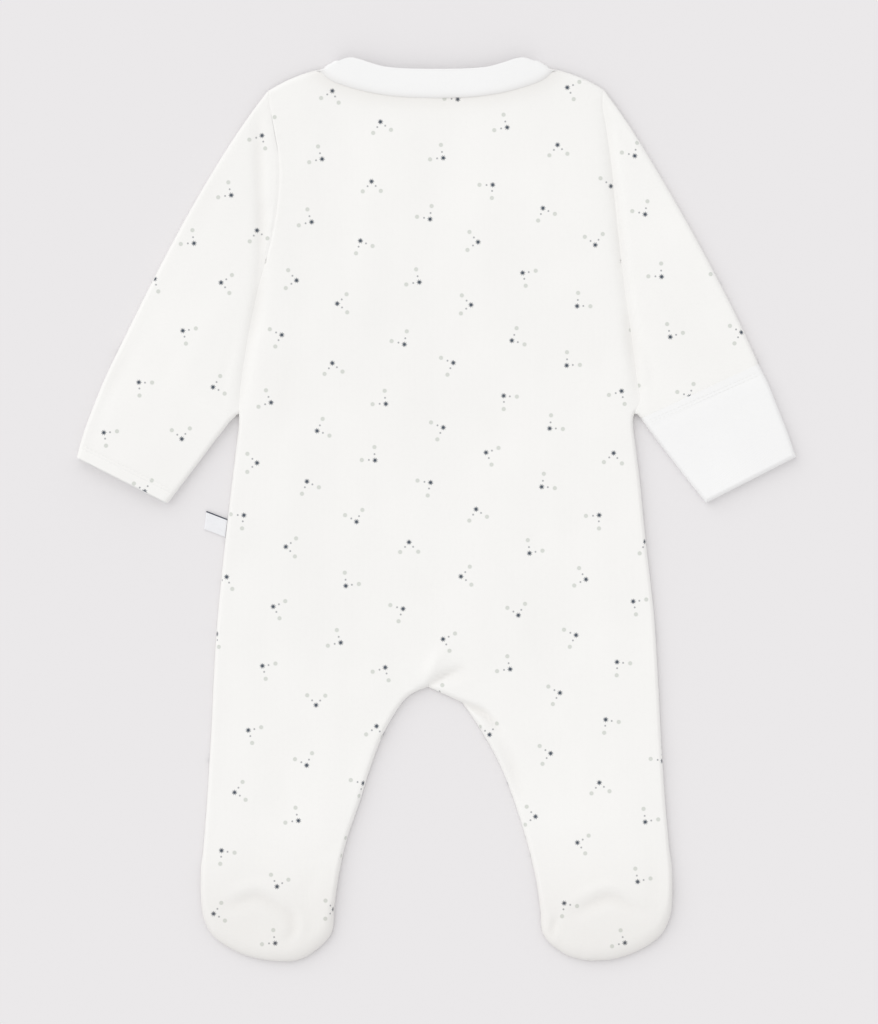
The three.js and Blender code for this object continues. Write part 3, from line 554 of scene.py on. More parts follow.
class Finish:
    """A finish of one shader, and the nodes that feed it."""

    def __init__(self, name, roughness, sheen):
        self.material = bpy.data.materials.new(name)
        self.material.use_nodes = True
        self.tree = self.material.node_tree
        self.shader = self.tree.nodes["Principled BSDF"]
        self.shader.inputs["Roughness"].default_value = roughness
        self.shader.inputs["Specular IOR Level"].default_value = 0.2
        self.shader.inputs["Sheen Weight"].default_value = sheen
        self.shader.inputs["Sheen Roughness"].default_value = 0.5

    def node(self, kind, settings=None, values=(), output=0):
        made = self.tree.nodes.new(kind)
        for name, value in (settings or {}).items():
            setattr(made, name, value)
        for place, value in values.items() if isinstance(values, dict) else enumerate(values):
            self.feed(made.inputs[place], value)
        return Wire(self, made.outputs[output])

    def feed(self, socket, value):
        if isinstance(value, Wire):
            self.tree.links.new(value.socket, socket)
        else:
            socket.default_value = value

    def split(self, vector):
        parts = self.node("ShaderNodeSeparateXYZ", values=[vector])
        return [Wire(self, socket) for socket in parts.socket.node.outputs]

    def lengths(self):
        """Places along the cloth, in millimetres."""
        u, v, _ = self.split(self.node("ShaderNodeUVMap", {"uv_map": "cloth"}))
        return u * (1 / MM), v * (1 / MM)

    def join(self, x, y, z=0.0):
        return self.node("ShaderNodeCombineXYZ", values=[x, y, z])

    def length(self, x, y):
        return self.node("ShaderNodeVectorMath", {"operation": "LENGTH"}, [self.join(x, y)], "Value")

    def mix(self, share, first, second):
        return self.node("ShaderNodeMix", {"data_type": "RGBA"}, {0: share, 6: first, 7: second}, 2)

    def soft_step(self, value, low, high):
        return self.node("ShaderNodeMapRange", {"interpolation_type": "SMOOTHSTEP"},
                         {"Value": value, "From Min": low, "From Max": high})

    def noise(self, place, scale, detail=2.0):
        return self.node("ShaderNodeTexNoise", {"noise_dimensions": "2D"},
                         {"Vector": place, "Scale": scale, "Detail": detail}, 0)

    def knit(self, u, v, wale, course, height):
        """Rows of small V stitches, with the uneven yarn of soft cotton over them."""
        lean = ((u * (1 / wale)) - (u * (1 / wale)).floor() - 0.5).size()
        stitch = (u * (2 * math.pi / wale)).cosine() * -0.5 + 0.5
        rows = ((v * (1 / course) + lean * 0.9) * (2 * math.pi)).cosine() * 0.3 + 0.7
        yarn = self.noise(self.join(u, v * 0.5), 1.6, 3.0)
        relief = stitch * rows + yarn * 0.7
        bump = self.node("ShaderNodeBump", output="Normal",
                         values={"Strength": 1.0, "Distance": height * MM, "Height": relief})
        self.feed(self.shader.inputs["Normal"], bump)
        return relief


# Repeat of the print: a slanting net of cells, with one star and its four dots in each
REPEAT_ACROSS, REPEAT_DOWN = (32.7, -18.3), (-40.8, -19.2)
REPEAT_FROM = (4.6, 238.5)
JITTER, JITTER_SEED = 5.0, 4.0
TILT = math.radians(62)
STAR_BACK = 3.1
STAR_CORE, STAR_RAY, STAR_RAYS = 0.85, 0.95, 9
ARM_DOTS = ((2.9, 2.5, 0.55), (6.0, 5.6, 1.3))
INK_EDGE = 0.28
NAVY_INK = (0.030, 0.050, 0.078, 1)
SAGE_INK = (0.470, 0.515, 0.455, 1)
NAVY_COVER, SMALL_DOT_COVER, SAGE_COVER = 0.95, 0.62, 0.52


def star_and_dots(finish, u, v):
    """How much dark ink and how much pale ink there is at each place."""
    (ax, ay), (dx, dy) = REPEAT_ACROSS, REPEAT_DOWN
    area = ax * dy - ay * dx
    u, v = u - REPEAT_FROM[0], v - REPEAT_FROM[1]
    s = u * (dy / area) - v * (dx / area)
    t = v * (ax / area) - u * (ay / area)
    i, j = s.floor(), t.floor()
    chance = finish.node("ShaderNodeTexWhiteNoise", {"noise_dimensions": "3D"},
                         {"Vector": finish.join(i, j, JITTER_SEED)}, "Color")
    first, second, third = finish.split(chance)
    s, t = s - i - 0.5, t - j - 0.5
    x = s * ax + t * dx + (first - 0.5) * JITTER
    y = s * ay + t * dy + (second - 0.5) * JITTER
    third_cell = finish.node("ShaderNodeMath", {"operation": "FLOORED_MODULO"}, [i + j * 2.0, 3.0])
    turn = third_cell * (2 * math.pi / 3) + third * (2 * TILT) + (math.pi / 2 - TILT)
    c, n = turn.cosine(), turn.sine()
    along = x * c + y * n + STAR_BACK
    beside = y * c - x * n
    radius = finish.length(along, beside)
    bearing = along.math("ARCTAN2", beside, along)
    ray = (bearing * (STAR_RAYS / 2)).cosine().size()
    tip = ray * ray * ray * STAR_RAY + STAR_CORE
    dark = finish.soft_step(radius - tip, INK_EDGE, -INK_EDGE)
    masks = []
    for forward, sideways, dot in ARM_DOTS:
        apart = finish.length(along - forward, beside.size() - sideways)
        masks.append(finish.soft_step(apart, dot + INK_EDGE, dot - INK_EDGE))
    small, pale = masks
    return dark.math("MAXIMUM", dark, small * SMALL_DOT_COVER), pale


WALE, COURSE, KNIT_RELIEF = 0.75, 0.62, 0.045
# Slow unevenness of the white: its scale, its stretch along the wales and its darker tone
DRIFT_SCALE, DRIFT_STRETCH, DRIFT_TONE = 0.018, 0.35, 0.955
# Warm tone of the painted shade in the folds, under the collar and on the feet
PAINTED_SHADE_TONE = (0.33, 0.25, 0.19, 1)
JERSEY_WHITE = (0.940, 0.933, 0.914, 1)


def jersey_finish(name, colour, printed, roughness=0.92):
    """Soft cotton jersey: fine wales, a little unevenness in its white, a print if it has one, and
    painted shade.
    """
    finish = Finish(name, roughness, 0.12)
    u, v = finish.lengths()
    relief = finish.knit(u, v, WALE, COURSE, KNIT_RELIEF)
    drift = finish.noise(finish.join(u, v * DRIFT_STRETCH), DRIFT_SCALE, 3.0)
    shade = tuple(c * DRIFT_TONE for c in colour[:3]) + (1,)
    cloth = finish.mix((drift - 0.5) * 1.1 + relief * 0.10 + 0.22, colour, shade)
    if printed:
        dark, pale = star_and_dots(finish, u, v)
        cloth = finish.mix(pale * SAGE_COVER, cloth, SAGE_INK)
        cloth = finish.mix(dark * NAVY_COVER, cloth, NAVY_INK)
    # Painted shade from the mesh darkens the cloth toward a warm tone
    painted_shade = finish.node("ShaderNodeAttribute", {"attribute_name": "painted_shade"}, output="Fac")
    finish.feed(finish.shader.inputs["Base Color"], finish.mix(painted_shade, cloth, PAINTED_SHADE_TONE))
    return finish.material


printed_jersey = jersey_finish("printed_cotton_jersey", JERSEY_WHITE, True)

back_sheets = []
for side in SIDE:
    x, y = half_grid(side, back_neck, back_shares, lambda height: 0 * height)
    apart, place = nearest(back_edges, x, y)
    seam_apart, seam_place = nearest([body_side[side][:seam_count]], x, y)
    top = top_at(x, y) + puckers(apart, place) * 0.6 + puckers(seam_apart, seam_place)
    top = top - SEAM_DIP * np.exp(-((seam_apart / SEAM_DIP_HALF) ** 2))
    rim = mixed(over_front(x, y), top - VALLEY_LIP, beside_sleeve(y))
    z = curled(apart, curl_at(y), top, rim)
    back_sheets.append((np.stack([x, y, z], axis=-1), unrolled(x, y, z), side == "right"))
back_panel = cloth_object("back_panel_cloth", back_sheets, SHELL, printed_jersey, over_front)
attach(back_panel, "root")
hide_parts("back_panel")

# Fronts
# Two cuts of the same jersey that lie on the table under the back. They meet at the centre front,
# the right one lapped over the left one from the neck down to the seat, and are one seam below.
FRONT_LAP = 9
LAP_END_Y, LAP_CLOSED_Y = -66, -80
FRONT_STEP_IN = 24
SIDE_ROLL, SIDE_ROLL_RISE = 1.8, 0.7
LAP_CLEAR = 1.5
LIFT_END_Y = (-100, -82)
# Steps in from the lapped edge and from the side, and the most of a width that they may take
LAP_STEPS = np.array([0, 2, 6, 10.5, 14, 19.5, 27.5])
SIDE_STEPS = np.array([0, 0.5, 1.1, SIDE_ROLL, 4])
LAP_MOST = 0.35


def lap_at(y):
    return FRONT_LAP * smooth(y, LAP_CLOSED_Y, LAP_END_Y)


def lap_lift(side, x, y):
    if side == "left":
        return 0 * x
    over = 1 - smooth(x, FRONT_LAP + LAP_CLEAR, 2 * FRONT_LAP)
    return (JERSEY + SEAM_GAP) * over * smooth(y, *LIFT_END_Y)


def front_shares(wide, share):
    outer = SIDE_STEPS * min(1, RIM_MOST * wide / SIDE_STEPS[-1]) / wide
    inner = 1 - (LAP_STEPS * min(1, LAP_MOST * wide / LAP_STEPS[-1]) / wide)[::-1]
    return np.concatenate([outer, np.linspace(outer[-1], inner[0], FRONT_STEP_IN + 1)[1:-1], inner])


for side, sign in SIDE.items():
    x, y = half_grid(side, front_neck, front_shares,
                     lambda height: -sign * (lap_at(height) - SEAM_GAP / 2))
    apart, place = nearest([edge_of_leg(side), body_side[side]], x, y)
    bottom = rise_at(x, y) + lap_lift(side, x, y)
    bottom = bottom + SIDE_ROLL_RISE * (1 - np.clip(apart / SIDE_ROLL, 0, 1)) ** 2
    z = np.minimum(bottom + SHELL, over_front(x, y) - SEAM_GAP + lap_lift(side, x, y))
    grid = (np.stack([x, y, z], axis=-1), np.stack([-x, y], axis=-1), side == "right")
    front = cloth_object(f"front_{side}_cloth", [grid], SHELL, printed_jersey, lambda x, y: 0 * x)
    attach(front, "root")
    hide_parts(f"front_{side}")

# Sleeves
# Each sleeve is one cut of the printed jersey, joined along its underside and sewn into the
# armhole, and lies flat beside the body. The left one ends in a stitched hem.
ARMHOLE_OVERLAP = 0.12
VALLEY_LOW_Y = 59.2
UNDER_CURL = 1.8
SLEEVE_STEP_IN = 30
RELIEF_FADE = 3
BESIDE_REACH = (5, 10)
EDGE_HEIGHT = 2.0
LEFT_END_SWELL = 0.9
MITTEN_TUCK = 2.6
CUFF_HEM = 7.2
HEM_GROOVE, HEM_GROOVE_HALF, HEM_FULLNESS = 0.32, 0.7, 0.25
HEM_STEP = (-0.5, 1.5)
STITCH_ROWS = (-1.0, 1.0)
STITCH_STEP, STITCH_LONG, STITCH_WIDE, STITCH_PROUD = 2.7, 2.0, 0.36, 0.14
HIDDEN_DROP = 1.1
# Outer and inner edge at each level below the armhole seam, down to the cuff
SLEEVES = {
    "left": np.array([
        [-104.5, 259.5, -106.2, 153.4],
        [-117.5, 242.1, -111.3, 134.8],
        [-132.4, 219.8, -114.4, 120],
        [-149.1, 191.9, -117.8, 103.2],
        [-165.8, 161.5, -120.9, 83.4],
        [-182, 129.9, -123.1, 61.2],
        [-199.3, 94.5, -128.7, 53.6],
        [-206.5, 79, -137.9, 41.9],
        [-213, 62.9, -147.2, 29.4],
        [-218.6, 48, -156.6, 17.1],
        [-222.9, 32.5, -166.5, 4],
    ]),
    "right": np.array([
        [103.5, 260.4, 114.6, 153.4],
        [120, 237.2, 116.9, 134.2],
        [137.3, 209.2, 119.3, 118.7],
        [155.9, 177, 121.8, 102],
        [172.7, 146, 125.2, 81.5],
        [186.9, 118.1, 124, 61.8],
        [199.6, 90.2, 126.8, 56.4],
        [205.8, 77.8, 134.6, 45.6],
        [211.7, 62.9, 145.6, 31.3],
        [217.6, 48, 156.2, 17.7],
        [222.9, 32.5, 167.1, 4],
    ]),
}
SLEEVE_TURN = math.radians(25.5)
# Levels where the armhole's curve has faded out, where each sleeve's end rises on to its mitten,
# where the right one narrows to fit into its own and drops in it, and where the sleeves end
ARMHOLE_FADE = 2.5
END_RISE, END_TUCK, END_DROP = (5.6, 5.95), (5.95, 6.15), (5.99, 6.1)
CUFF_LEVEL, HIDDEN_END_LEVEL = 10, 9.7
CUFF_LEVELS = np.concatenate([np.linspace(9.4, 9.7, 13), [9.9, 9.96]])


def beside_body(side, y):
    line = body_side[side]
    return np.interp(-y, -line[:, 1], line[:, 0]) - SIDE[side] * ARMHOLE_OVERLAP


def along_seam(side, t):
    line = body_side[side][:seam_count]
    run = np.concatenate([[0], np.cumsum(np.linalg.norm(np.diff(line, axis=0), axis=1))])
    return np.stack([np.interp(t * run[-1], run, line[:, k]) for k in (0, 1)], axis=-1)


def sleeve_grid(side, levels, shares_of, inset):
    """Places across a sleeve at each level, inset from both of its edges."""
    rows = along_table(SLEEVES[side], levels)
    outer, inner = rows[:, 0:2].copy(), rows[:, 2:4].copy()
    beside = inner[:, 1] > VALLEY_LOW_Y
    inner[beside, 0] = beside_body(side, inner[beside, 1])
    wide = np.linalg.norm(inner - outer, axis=1)
    t = np.array([shares_of(w) for w in wide])
    kept = mixed((inset / wide)[:, None], (1 - inset / wide)[:, None], t)
    seam = along_seam(side, kept.ravel()).reshape(*kept.shape, 2)
    ends = along_seam(side, np.array([0.0, 1.0]))
    bow = (1 - smooth(levels, 0, ARMHOLE_FADE))[:, None, None]
    straight = mixed(ends[0], ends[1], kept[..., None])
    places = mixed(outer[:, None], inner[:, None], kept[..., None]) + bow * (seam - straight)
    start = levels == 0
    places[start] = seam[start] - (SIDE[side] * ARMHOLE_OVERLAP, 0)
    clear = beside_body(side, places[..., 1])
    held = (places[..., 1] > VALLEY_LOW_Y) & ((places[..., 0] - clear) * SIDE[side] < 0)
    places[..., 0] = np.where(held, clear, places[..., 0])
    return places, t


def around(wide):
    """Shares of a width for one layer of a flat tube, whose edges both roll."""
    return across(wide, RIM_STEPS, SLEEVE_STEP_IN, True)


def flat_tube(side, levels, inset, edges_of, heights, relief_of, closed=False):
    """Outer face of a flattened tube, all the way round it, and the lengths along its cloth."""
    places, t = sleeve_grid(side, levels, around, inset)
    x, y = places[..., 0], places[..., 1]
    ends = [places[:, 0], places[:, -1]]
    apart, _ = nearest(ends + edges_of(places), x, y)
    apart[:, [0, -1]] = 0
    if closed:
        apart[-1] = 0
    under, edge, top = heights(x, y, levels[:, None])
    relief = relief_of(places, levels, apart) * smooth(apart, 0, RELIEF_FADE)
    upper = curled(apart, CURL, top, edge) + relief
    lower = curled(apart, UNDER_CURL, under, edge)
    round_x = np.concatenate([x, x[:, -2:0:-1]], axis=1)
    round_y = np.concatenate([y, y[:, -2:0:-1]], axis=1)
    round_z = np.concatenate([upper, lower[:, -2:0:-1]], axis=1)
    tube = np.stack([round_x, round_y, round_z], axis=-1)
    tube = np.concatenate([tube, tube[:, :1]], axis=1)
    turn = -SIDE[side] * SLEEVE_TURN
    c, s = math.cos(turn), math.sin(turn)
    across_it = tube[..., 0] * c - tube[..., 1] * s
    steps = np.hypot(np.diff(across_it, axis=1), np.diff(tube[..., 2], axis=1))
    run = np.pad(np.cumsum(steps, axis=1), ((0, 0), (1, 0)))
    middle = x.shape[1] // 2
    u = across_it[:, [middle]] - SIDE[side] * (run - run[:, [middle]])
    v = tube[..., 0] * s + tube[..., 1] * c
    return tube, np.stack([u, v], axis=-1)


def hem_relief(apart, hem):
    """A turned hem: a little fuller than the cloth, with two rows of stitches pulled into it."""
    rows = sum(np.exp(-(((apart - hem - row) / HEM_GROOVE_HALF) ** 2)) for row in STITCH_ROWS)
    return HEM_FULLNESS * (1 - smooth(apart - hem, *HEM_STEP)) - HEM_GROOVE * rows


# Corners of one thread, in shares of its length, its width and its height, and its six faces
THREAD_CORNERS = ((-0.5, -0.5, -1), (-0.5, 0.5, -1), (0.5, 0.5, -1), (0.5, -0.5, -1),
                  (-0.3, -0.35, 1), (-0.3, 0.35, 1), (0.3, 0.35, 1), (0.3, -0.35, 1))
THREAD_FACES = ((0, 1, 2, 3), (7, 6, 5, 4), (4, 5, 1, 0), (5, 6, 2, 1), (6, 7, 3, 2), (7, 4, 0, 3))
ROLLED_COLUMNS, STITCH_CLEAR = 4, 1.0


def hem_stitches(name, grid, run, hem):
    """Two rows of short threads laid on a sheet, at a distance from the edge where run is 0."""
    made = bmesh.new()
    order = np.argsort(run)
    for row in STITCH_ROWS:
        line = np.stack([[np.interp(hem + row, run[order], grid[order, c, k]) for k in range(3)]
                         for c in range(ROLLED_COLUMNS, grid.shape[1] - ROLLED_COLUMNS)])
        long = np.concatenate([[0], np.cumsum(np.linalg.norm(np.diff(line, axis=0), axis=1))])
        for start in np.arange(STITCH_CLEAR, long[-1] - STITCH_LONG - STITCH_CLEAR, STITCH_STEP):
            first, last = (np.array([np.interp(start + reach, long, line[:, k]) for k in range(3)])
                           for reach in (0, STITCH_LONG))
            along = last - first
            beside = np.array([-along[1], along[0], 0]) / np.linalg.norm(along[:2]) * STITCH_WIDE
            middle = (first + last) / 2
            corners = [made.verts.new((middle + along * a + beside * b + (0, 0, STITCH_PROUD * c)) * MM)
                       for a, b, c in THREAD_CORNERS]
            for ring in THREAD_FACES:
                made.faces.new([corners[i] for i in ring])
    bmesh.ops.recalc_face_normals(made, faces=made.faces)
    mesh = bpy.data.meshes.new(name)
    made.to_mesh(mesh)
    made.free()
    threads = bpy.data.objects.new(name, mesh)
    bpy.context.scene.collection.objects.link(threads)
    mesh.materials.append(sewing_thread)
    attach(threads, "root")
    return threads


THREAD_TWIST = 0.5
# White of the thread, and the darker tone of painted shade in the grooves of its twist
THREAD_WHITE, THREAD_SHADE = (0.90, 0.90, 0.89, 1), (0.82, 0.82, 0.80, 1)
thread_finish = Finish("white_sewing_thread", 0.55, 0.1)
u, v, _ = thread_finish.split(thread_finish.node("ShaderNodeTexCoord", output="Object"))
twist_shade = ((u + v) * (2 * math.pi / (THREAD_TWIST * MM))).sine() * 0.5 + 0.5
thread_finish.feed(thread_finish.shader.inputs["Base Color"],
                   thread_finish.mix(twist_shade * 0.5, THREAD_WHITE, THREAD_SHADE))
sewing_thread = thread_finish.material
for side in SIDE:
    last = CUFF_LEVEL if side == "left" else HIDDEN_END_LEVEL
    levels = fine_levels(SLEEVES[side], CLOTH_STEP)
    levels = np.unique(np.concatenate([levels[levels < last], [last]]))
    if side == "left":
        levels = np.unique(np.concatenate([levels, CUFF_LEVELS]))
    inset = (MITTEN_TUCK if side == "right" else 0) * smooth(levels, *END_TUCK)
    swell = LEFT_END_SWELL if side == "left" else 0

    def heights(x, y, level):
        tucked = smooth(level, *END_RISE)
        under = rise_at(x, y) + (JERSEY + SEAM_GAP) * tucked
        top = top_at(x, y) + swell * tucked
        if side == "right":
            top = top - HIDDEN_DROP * smooth(level, *END_DROP)
        off_body, _ = nearest([body_side[side]], x, y)
        beside = beside_sleeve(y) * (1 - smooth(off_body, *BESIDE_REACH))
        return under, mixed(under + EDGE_HEIGHT, top - VALLEY_LIP, beside), top

    def relief_of(places, levels, apart):
        x, y = places[..., 0], places[..., 1]
        seam_apart, seam_place = nearest([body_side[side][:seam_count]], x, y)
        relief = puckers(seam_apart, seam_place)
        relief = relief + puckers(apart, levels[:, None] * 19, reach=6.0, height=0.15)
        relief = relief - SEAM_DIP * np.exp(-((seam_apart / SEAM_DIP_HALF) ** 2))
        if side == "left":
            cuff, _ = nearest([places[-1]], x, y)
            relief = relief + hem_relief(cuff, CUFF_HEM)
            relief = relief + puckers(cuff, x * 1.3, reach=9.0, height=0.16)
        return relief

    tube, uv = flat_tube(side, levels, inset, lambda places: [shoulder[side]], heights, relief_of)
    sleeve = cloth_object(f"sleeve_{side}_cloth", [(tube, uv, side == "right")], SHELL, printed_jersey)
    stitches = []
    if side == "left":
        row_run = np.linalg.norm(tube[:, 0, :2] - tube[-1, 0, :2], axis=1)
        stitches = [hem_stitches("cuff_stitches", tube[:, :tube.shape[1] // 2], row_run, CUFF_HEM)]
    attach(sleeve, "root")
    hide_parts(f"sleeve_{side}")

# Mittens
# Plain white cuffs of finer jersey that fold over to cover the hands. The right one is turned over
# its sleeve's end, with two rows of stitches round its hem. The left one is turned back under.
MITTEN_PROUD = (-0.35, -0.7)
MITTEN_INSET = 1.0
MITTEN_EDGE = 2.4
MITTEN_HEM_TOP, MITTEN_TOP = LAID_TOP + 0.45, LAID_TOP + SEAM_GAP + JERSEY - 0.3
MITTEN_WHITE = (0.938, 0.938, 0.936, 1)
MITTEN_HEM = 5.6
# Levels of the sleeves' tables at which the mittens start, and where the right one's hem and
# folded end need rows close together, and how the left one is laid out
MITTEN_LEVEL = 6.0
MITTEN_HEM_LEVELS = np.concatenate([np.linspace(MITTEN_LEVEL, 6.14, 6), np.linspace(6.22, 6.5, 8)])
MITTEN_END_LEVELS = (9.6, 9.7, 9.78, 9.85, 9.91, 9.95, 9.98, 10.0)
HEM_TO_BODY = (MITTEN_LEVEL, 7.2)
HIDDEN_ROWS, HIDDEN_COLUMNS, PROUD_FROM = 30, 34, 9
plain_jersey = jersey_finish("plain_white_jersey", MITTEN_WHITE, False, 0.88)

levels = fine_levels(SLEEVES["right"], CLOTH_STEP)
levels = np.unique(np.concatenate([levels[levels > MITTEN_LEVEL], MITTEN_HEM_LEVELS, MITTEN_END_LEVELS]))


def mitten_relief(places, levels, apart):
    x, y = places[..., 0], places[..., 1]
    hem, run = nearest([places[0]], x, y)
    relief = hem_relief(hem, MITTEN_HEM) * 0.4 + puckers(hem, run, reach=9.0, height=0.2)
    return relief + crease_height(x, y) * 0.9


def mitten_heights(x, y, level):
    top = mixed(MITTEN_HEM_TOP, MITTEN_TOP, smooth(level, *HEM_TO_BODY))
    return 0 * x, 0 * x + MITTEN_EDGE, 0 * x + top


tube, uv = flat_tube("right", levels, 0 * levels, lambda places: [places[-1]], mitten_heights,
                     mitten_relief, closed=True)
mitt_right = cloth_object("mitt_right_cloth", [(tube, uv, True)], SHELL, plain_jersey)
row_run = np.linalg.norm(tube[:, 0, :2] - tube[0, 0, :2], axis=1)
mitten_stitches = hem_stitches("mitten_stitches", tube[:, :tube.shape[1] // 2], row_run, MITTEN_HEM)
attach(mitt_right, "root")
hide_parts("mitt_right")

levels = np.linspace(MITTEN_LEVEL, CUFF_LEVEL, HIDDEN_ROWS)
places, _ = sleeve_grid("left", levels, lambda wide: np.linspace(0, 1, HIDDEN_COLUMNS),
                        np.full(HIDDEN_ROWS, MITTEN_INSET))
proud = smooth(levels, PROUD_FROM, CUFF_LEVEL)[:, None, None]
places = places + proud * MITTEN_PROUD
slab = np.concatenate([places, np.full((*places.shape[:2], 1), JERSEY)], axis=2)
mitt_left = cloth_object("mitt_left_cloth", [(slab, places.copy(), False)], JERSEY, plain_jersey,
                         lambda x, y: 0 * x)
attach(mitt_left, "root")
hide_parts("mitt_left")

# Collar
# A plain white collar of two layers, cut as one strip and folded over the neckline. Its stand
# continues the neckline, and its fall lies on the back and beneath the fronts.
COLLAR_CLOTH = 0.7
COLLAR_STAND, COLLAR_FALL, COLLAR_MIDDLE = 1.85, 3.6, 4.2
COLLAR_SPLIT = 0.6
NECK_GAP = 0.5
FRONT_FALL_Y = 228.7
FOLD_END_Y, MIDDLE_END_Y, EDGE_END_Y = 278.2, 274.9, 271.3
END_NARROWING = 0.6
STAND_IN_FRONT = 8
# Height of the fold and of the fall's edge behind, at shares of the half length
BACK_FOLD = np.array([(0, 273.1), (0.3, 273.4), (0.52, 274.5), (0.69, 277.2), (0.8, 279.4),
                      (0.9, 280.2), (1, FOLD_END_Y)])
BACK_EDGE = np.array([(0, 254.5), (0.31, 255.4), (0.56, 257.9), (0.78, 262), (0.92, 266.2),
                      (1, EDGE_END_Y)])
# Across the strip, from the neckline over the fold to the edge: reach from the middle of the
# height, half the length of the line, the line, and its shift up the sheet
COLLAR_ACROSS = [
    (COLLAR_STAND, 63.9, "neck", NECK_GAP),
    (COLLAR_STAND, 63.0, "neck", 2.6),
    (COLLAR_STAND, 62.2, "fold", -2.5),
    (COLLAR_STAND + 0.25, 62.6, "fold", -1.0),
    ((COLLAR_STAND + COLLAR_FALL) / 2, 63.1, "fold", -0.3),
    (COLLAR_FALL - 0.25, 63.9, "fold", -0.6),
    (COLLAR_FALL, 65.0, "fold", -1.4),
    (COLLAR_FALL + 0.1, 68.4, "middle", 0),
    (COLLAR_FALL, 70.4, "edge", 4.2),
    (COLLAR_FALL - 0.1, 72.5, "edge", 2.4),
    (COLLAR_FALL - 0.4, 73.6, "edge", 1.15),
    (COLLAR_FALL - 1.0, 74.2, "edge", 0.25),
    (COLLAR_FALL - 1.6, 74.2, "edge", 0.5),
]
COLLAR_ROWS, MEASURED_ROW = 56, 20


def line_through(table, share):
    """A smooth line through a few places, by its height at each share of its half length."""
    fine = along_table(table, np.linspace(0, len(table) - 1, 160))
    return np.interp(np.abs(share), fine[:, 0], fine[:, 1])


def collar_line(line, share, in_front):
    if line == "neck":
        return front_neck(share * NECK_HALF) if in_front else back_neck(share * NECK_HALF)
    if line == "fold":
        if not in_front:
            return line_through(BACK_FOLD, share)
        return mixed(front_neck(share * NECK_HALF) + STAND_IN_FRONT, FOLD_END_Y, np.abs(share) ** 6)
    if line == "edge":
        if not in_front:
            return line_through(BACK_EDGE, share)
        return mixed(FRONT_FALL_Y, EDGE_END_Y, 1 - np.sqrt(1 - np.minimum(1, share * share)))
    ends = (FOLD_END_Y + EDGE_END_Y) / 2
    halfway = (collar_line("fold", share, in_front) + collar_line("edge", share, in_front)) / 2
    return halfway + (MIDDLE_END_Y - ends) * np.abs(share) ** 5


COLLAR_ENDS = {"neck": NECK_END_Y, "fold": FOLD_END_Y, "middle": MIDDLE_END_Y, "edge": EDGE_END_Y}
front_runs = np.concatenate([np.linspace(0, 0.8, 22), np.linspace(0.8, 0.99, 10)[1:]])
back_runs = np.linspace(-1, 1, 72)[1:-1]
turns = np.linspace(0, math.pi, 12)


def narrowed(line, share, shift):
    """The shift up the sheet, which shrinks beside the edge as the fall tapers to its ends."""
    return shift * (1 - END_NARROWING * np.abs(share) ** 6) if line == "edge" else shift


def collar_way(reach, half, line, shift):
    """One line of the strip, from the centre front over a shoulder, round the back and again."""
    straight = half - reach
    rows = []
    for sign in (-1, 1):
        x = sign * mixed(COLLAR_SPLIT, straight, front_runs)
        share = x / NECK_HALF if line == "neck" else x / straight
        front = np.stack([x, collar_line(line, share, True) + narrowed(line, share, shift),
                          np.full(len(x), COLLAR_MIDDLE - reach)], axis=1)
        bend = np.stack([sign * (straight + reach * np.sin(turns)),
                         np.full(len(turns), COLLAR_ENDS[line] + narrowed(line, 1, shift)),
                         COLLAR_MIDDLE - reach * np.cos(turns)], axis=1)
        rows.append(np.vstack([front, bend]))
    x = back_runs * straight
    share = x / NECK_HALF if line == "neck" else back_runs
    back = np.stack([x, collar_line(line, share, False) + narrowed(line, share, shift),
                     np.full(len(x), COLLAR_MIDDLE + reach)], axis=1)
    return np.vstack([rows[0], back, rows[1][::-1]])


lines = np.stack([collar_way(*values) for values in COLLAR_ACROSS], axis=1)
fine = np.linspace(0, len(COLLAR_ACROSS) - 1, COLLAR_ROWS)
strip = np.stack([along_table(row, fine) for row in lines])
run = np.concatenate([[0], np.cumsum(np.linalg.norm(np.diff(strip[:, MEASURED_ROW], axis=0), axis=1))])
aside = np.pad(np.cumsum(np.linalg.norm(np.diff(strip, axis=1), axis=2), axis=1), ((0, 0), (1, 0)))
uv = np.stack([np.broadcast_to(run[:, None], aside.shape), aside], axis=-1)
collar = cloth_object("collar_cloth", [(strip, uv, True)], COLLAR_CLOTH, plain_jersey)
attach(collar, "root")
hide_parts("collar")

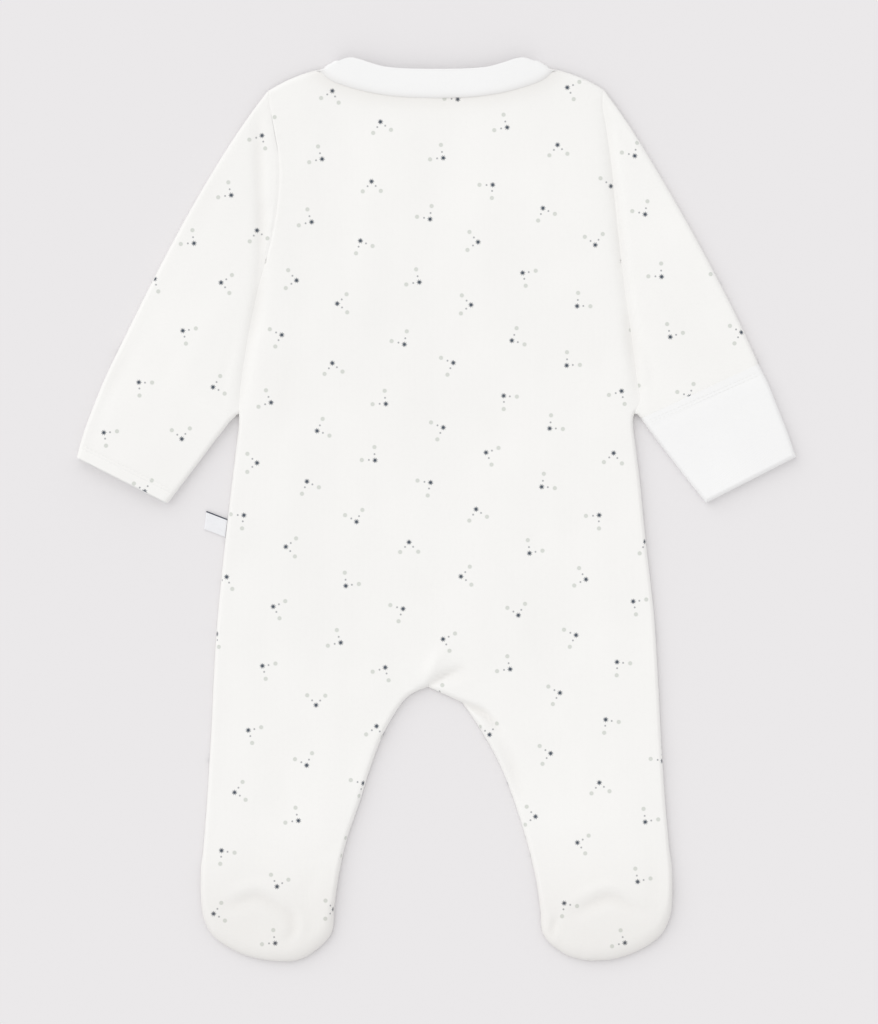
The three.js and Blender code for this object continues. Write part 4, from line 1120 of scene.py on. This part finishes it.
# Side label
# A short white ribbon, folded in two and caught in the left side seam, with one navy line woven
# along its upper edge and nothing else on it.
LABEL_TOP_Y, LABEL_BOTTOM_Y = -5.9, -17.1
LABEL_REACH, LABEL_TILT, LABEL_WALL = 13, 5, 0.36
LABEL_HEIGHT = 1.0
RIBBON_WHITE = (0.900, 0.905, 0.925, 1)
RIBBON_NAVY = (0.045, 0.055, 0.085, 1)
LINE_WIDTH, LINE_BLUR, WARP_STEP, WARP_RELIEF = 0.75, 0.12, 0.28, 0.03
LABEL_ROWS, BEND_STEPS = 14, 9

ribbon = Finish("woven_ribbon", 0.62, 0.0)
u, v = ribbon.lengths()
warp = (u * (2 * math.pi / WARP_STEP)).cosine() * (v * (math.pi / WARP_STEP)).cosine()
ribbon_bump = ribbon.node("ShaderNodeBump", output="Normal",
                          values={"Distance": WARP_RELIEF * MM, "Height": warp})
ribbon.feed(ribbon.shader.inputs["Normal"], ribbon_bump)
line_share = ribbon.soft_step(v, LINE_WIDTH + LINE_BLUR, LINE_WIDTH - LINE_BLUR)
ribbon.feed(ribbon.shader.inputs["Base Color"], ribbon.mix(line_share, RIBBON_WHITE, RIBBON_NAVY))

down = np.linspace(0, 1, LABEL_ROWS)
bend = np.linspace(0, math.pi, BEND_STEPS)[1:-1]
half_height = LABEL_HEIGHT / 2 - LABEL_WALL
bend_from = LABEL_REACH - LABEL_HEIGHT / 2
flat_run = np.linspace(0, bend_from, LABEL_ROWS)
out = np.concatenate([flat_run, bend_from + half_height * np.sin(bend), flat_run[::-1]])
lift = np.concatenate([np.ones(LABEL_ROWS), np.cos(bend), -np.ones(LABEL_ROWS)])
level = LABEL_HEIGHT / 2 + half_height * lift
y = mixed(LABEL_TOP_Y, LABEL_BOTTOM_Y, down)[:, None] + 0 * out
seam_x = np.interp(-y, -body_side["left"][:, 1], body_side["left"][:, 0]) - SEAM_GAP
x = seam_x - out
y = y + LABEL_TILT * out / LABEL_REACH
z = np.broadcast_to(level, x.shape)
run = np.concatenate([[0], np.cumsum(np.hypot(np.diff(out), np.diff(level)))])
fallen = (LABEL_TOP_Y - LABEL_BOTTOM_Y) * down[:, None]
uv = np.stack([np.broadcast_to(run, x.shape), np.broadcast_to(fallen, x.shape)], axis=-1)
label = cloth_object("side_label_ribbon", [(np.stack([x, y, z], axis=-1), uv, False)], LABEL_WALL,
                     ribbon.material)
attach(label, "root")
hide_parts("side_label")
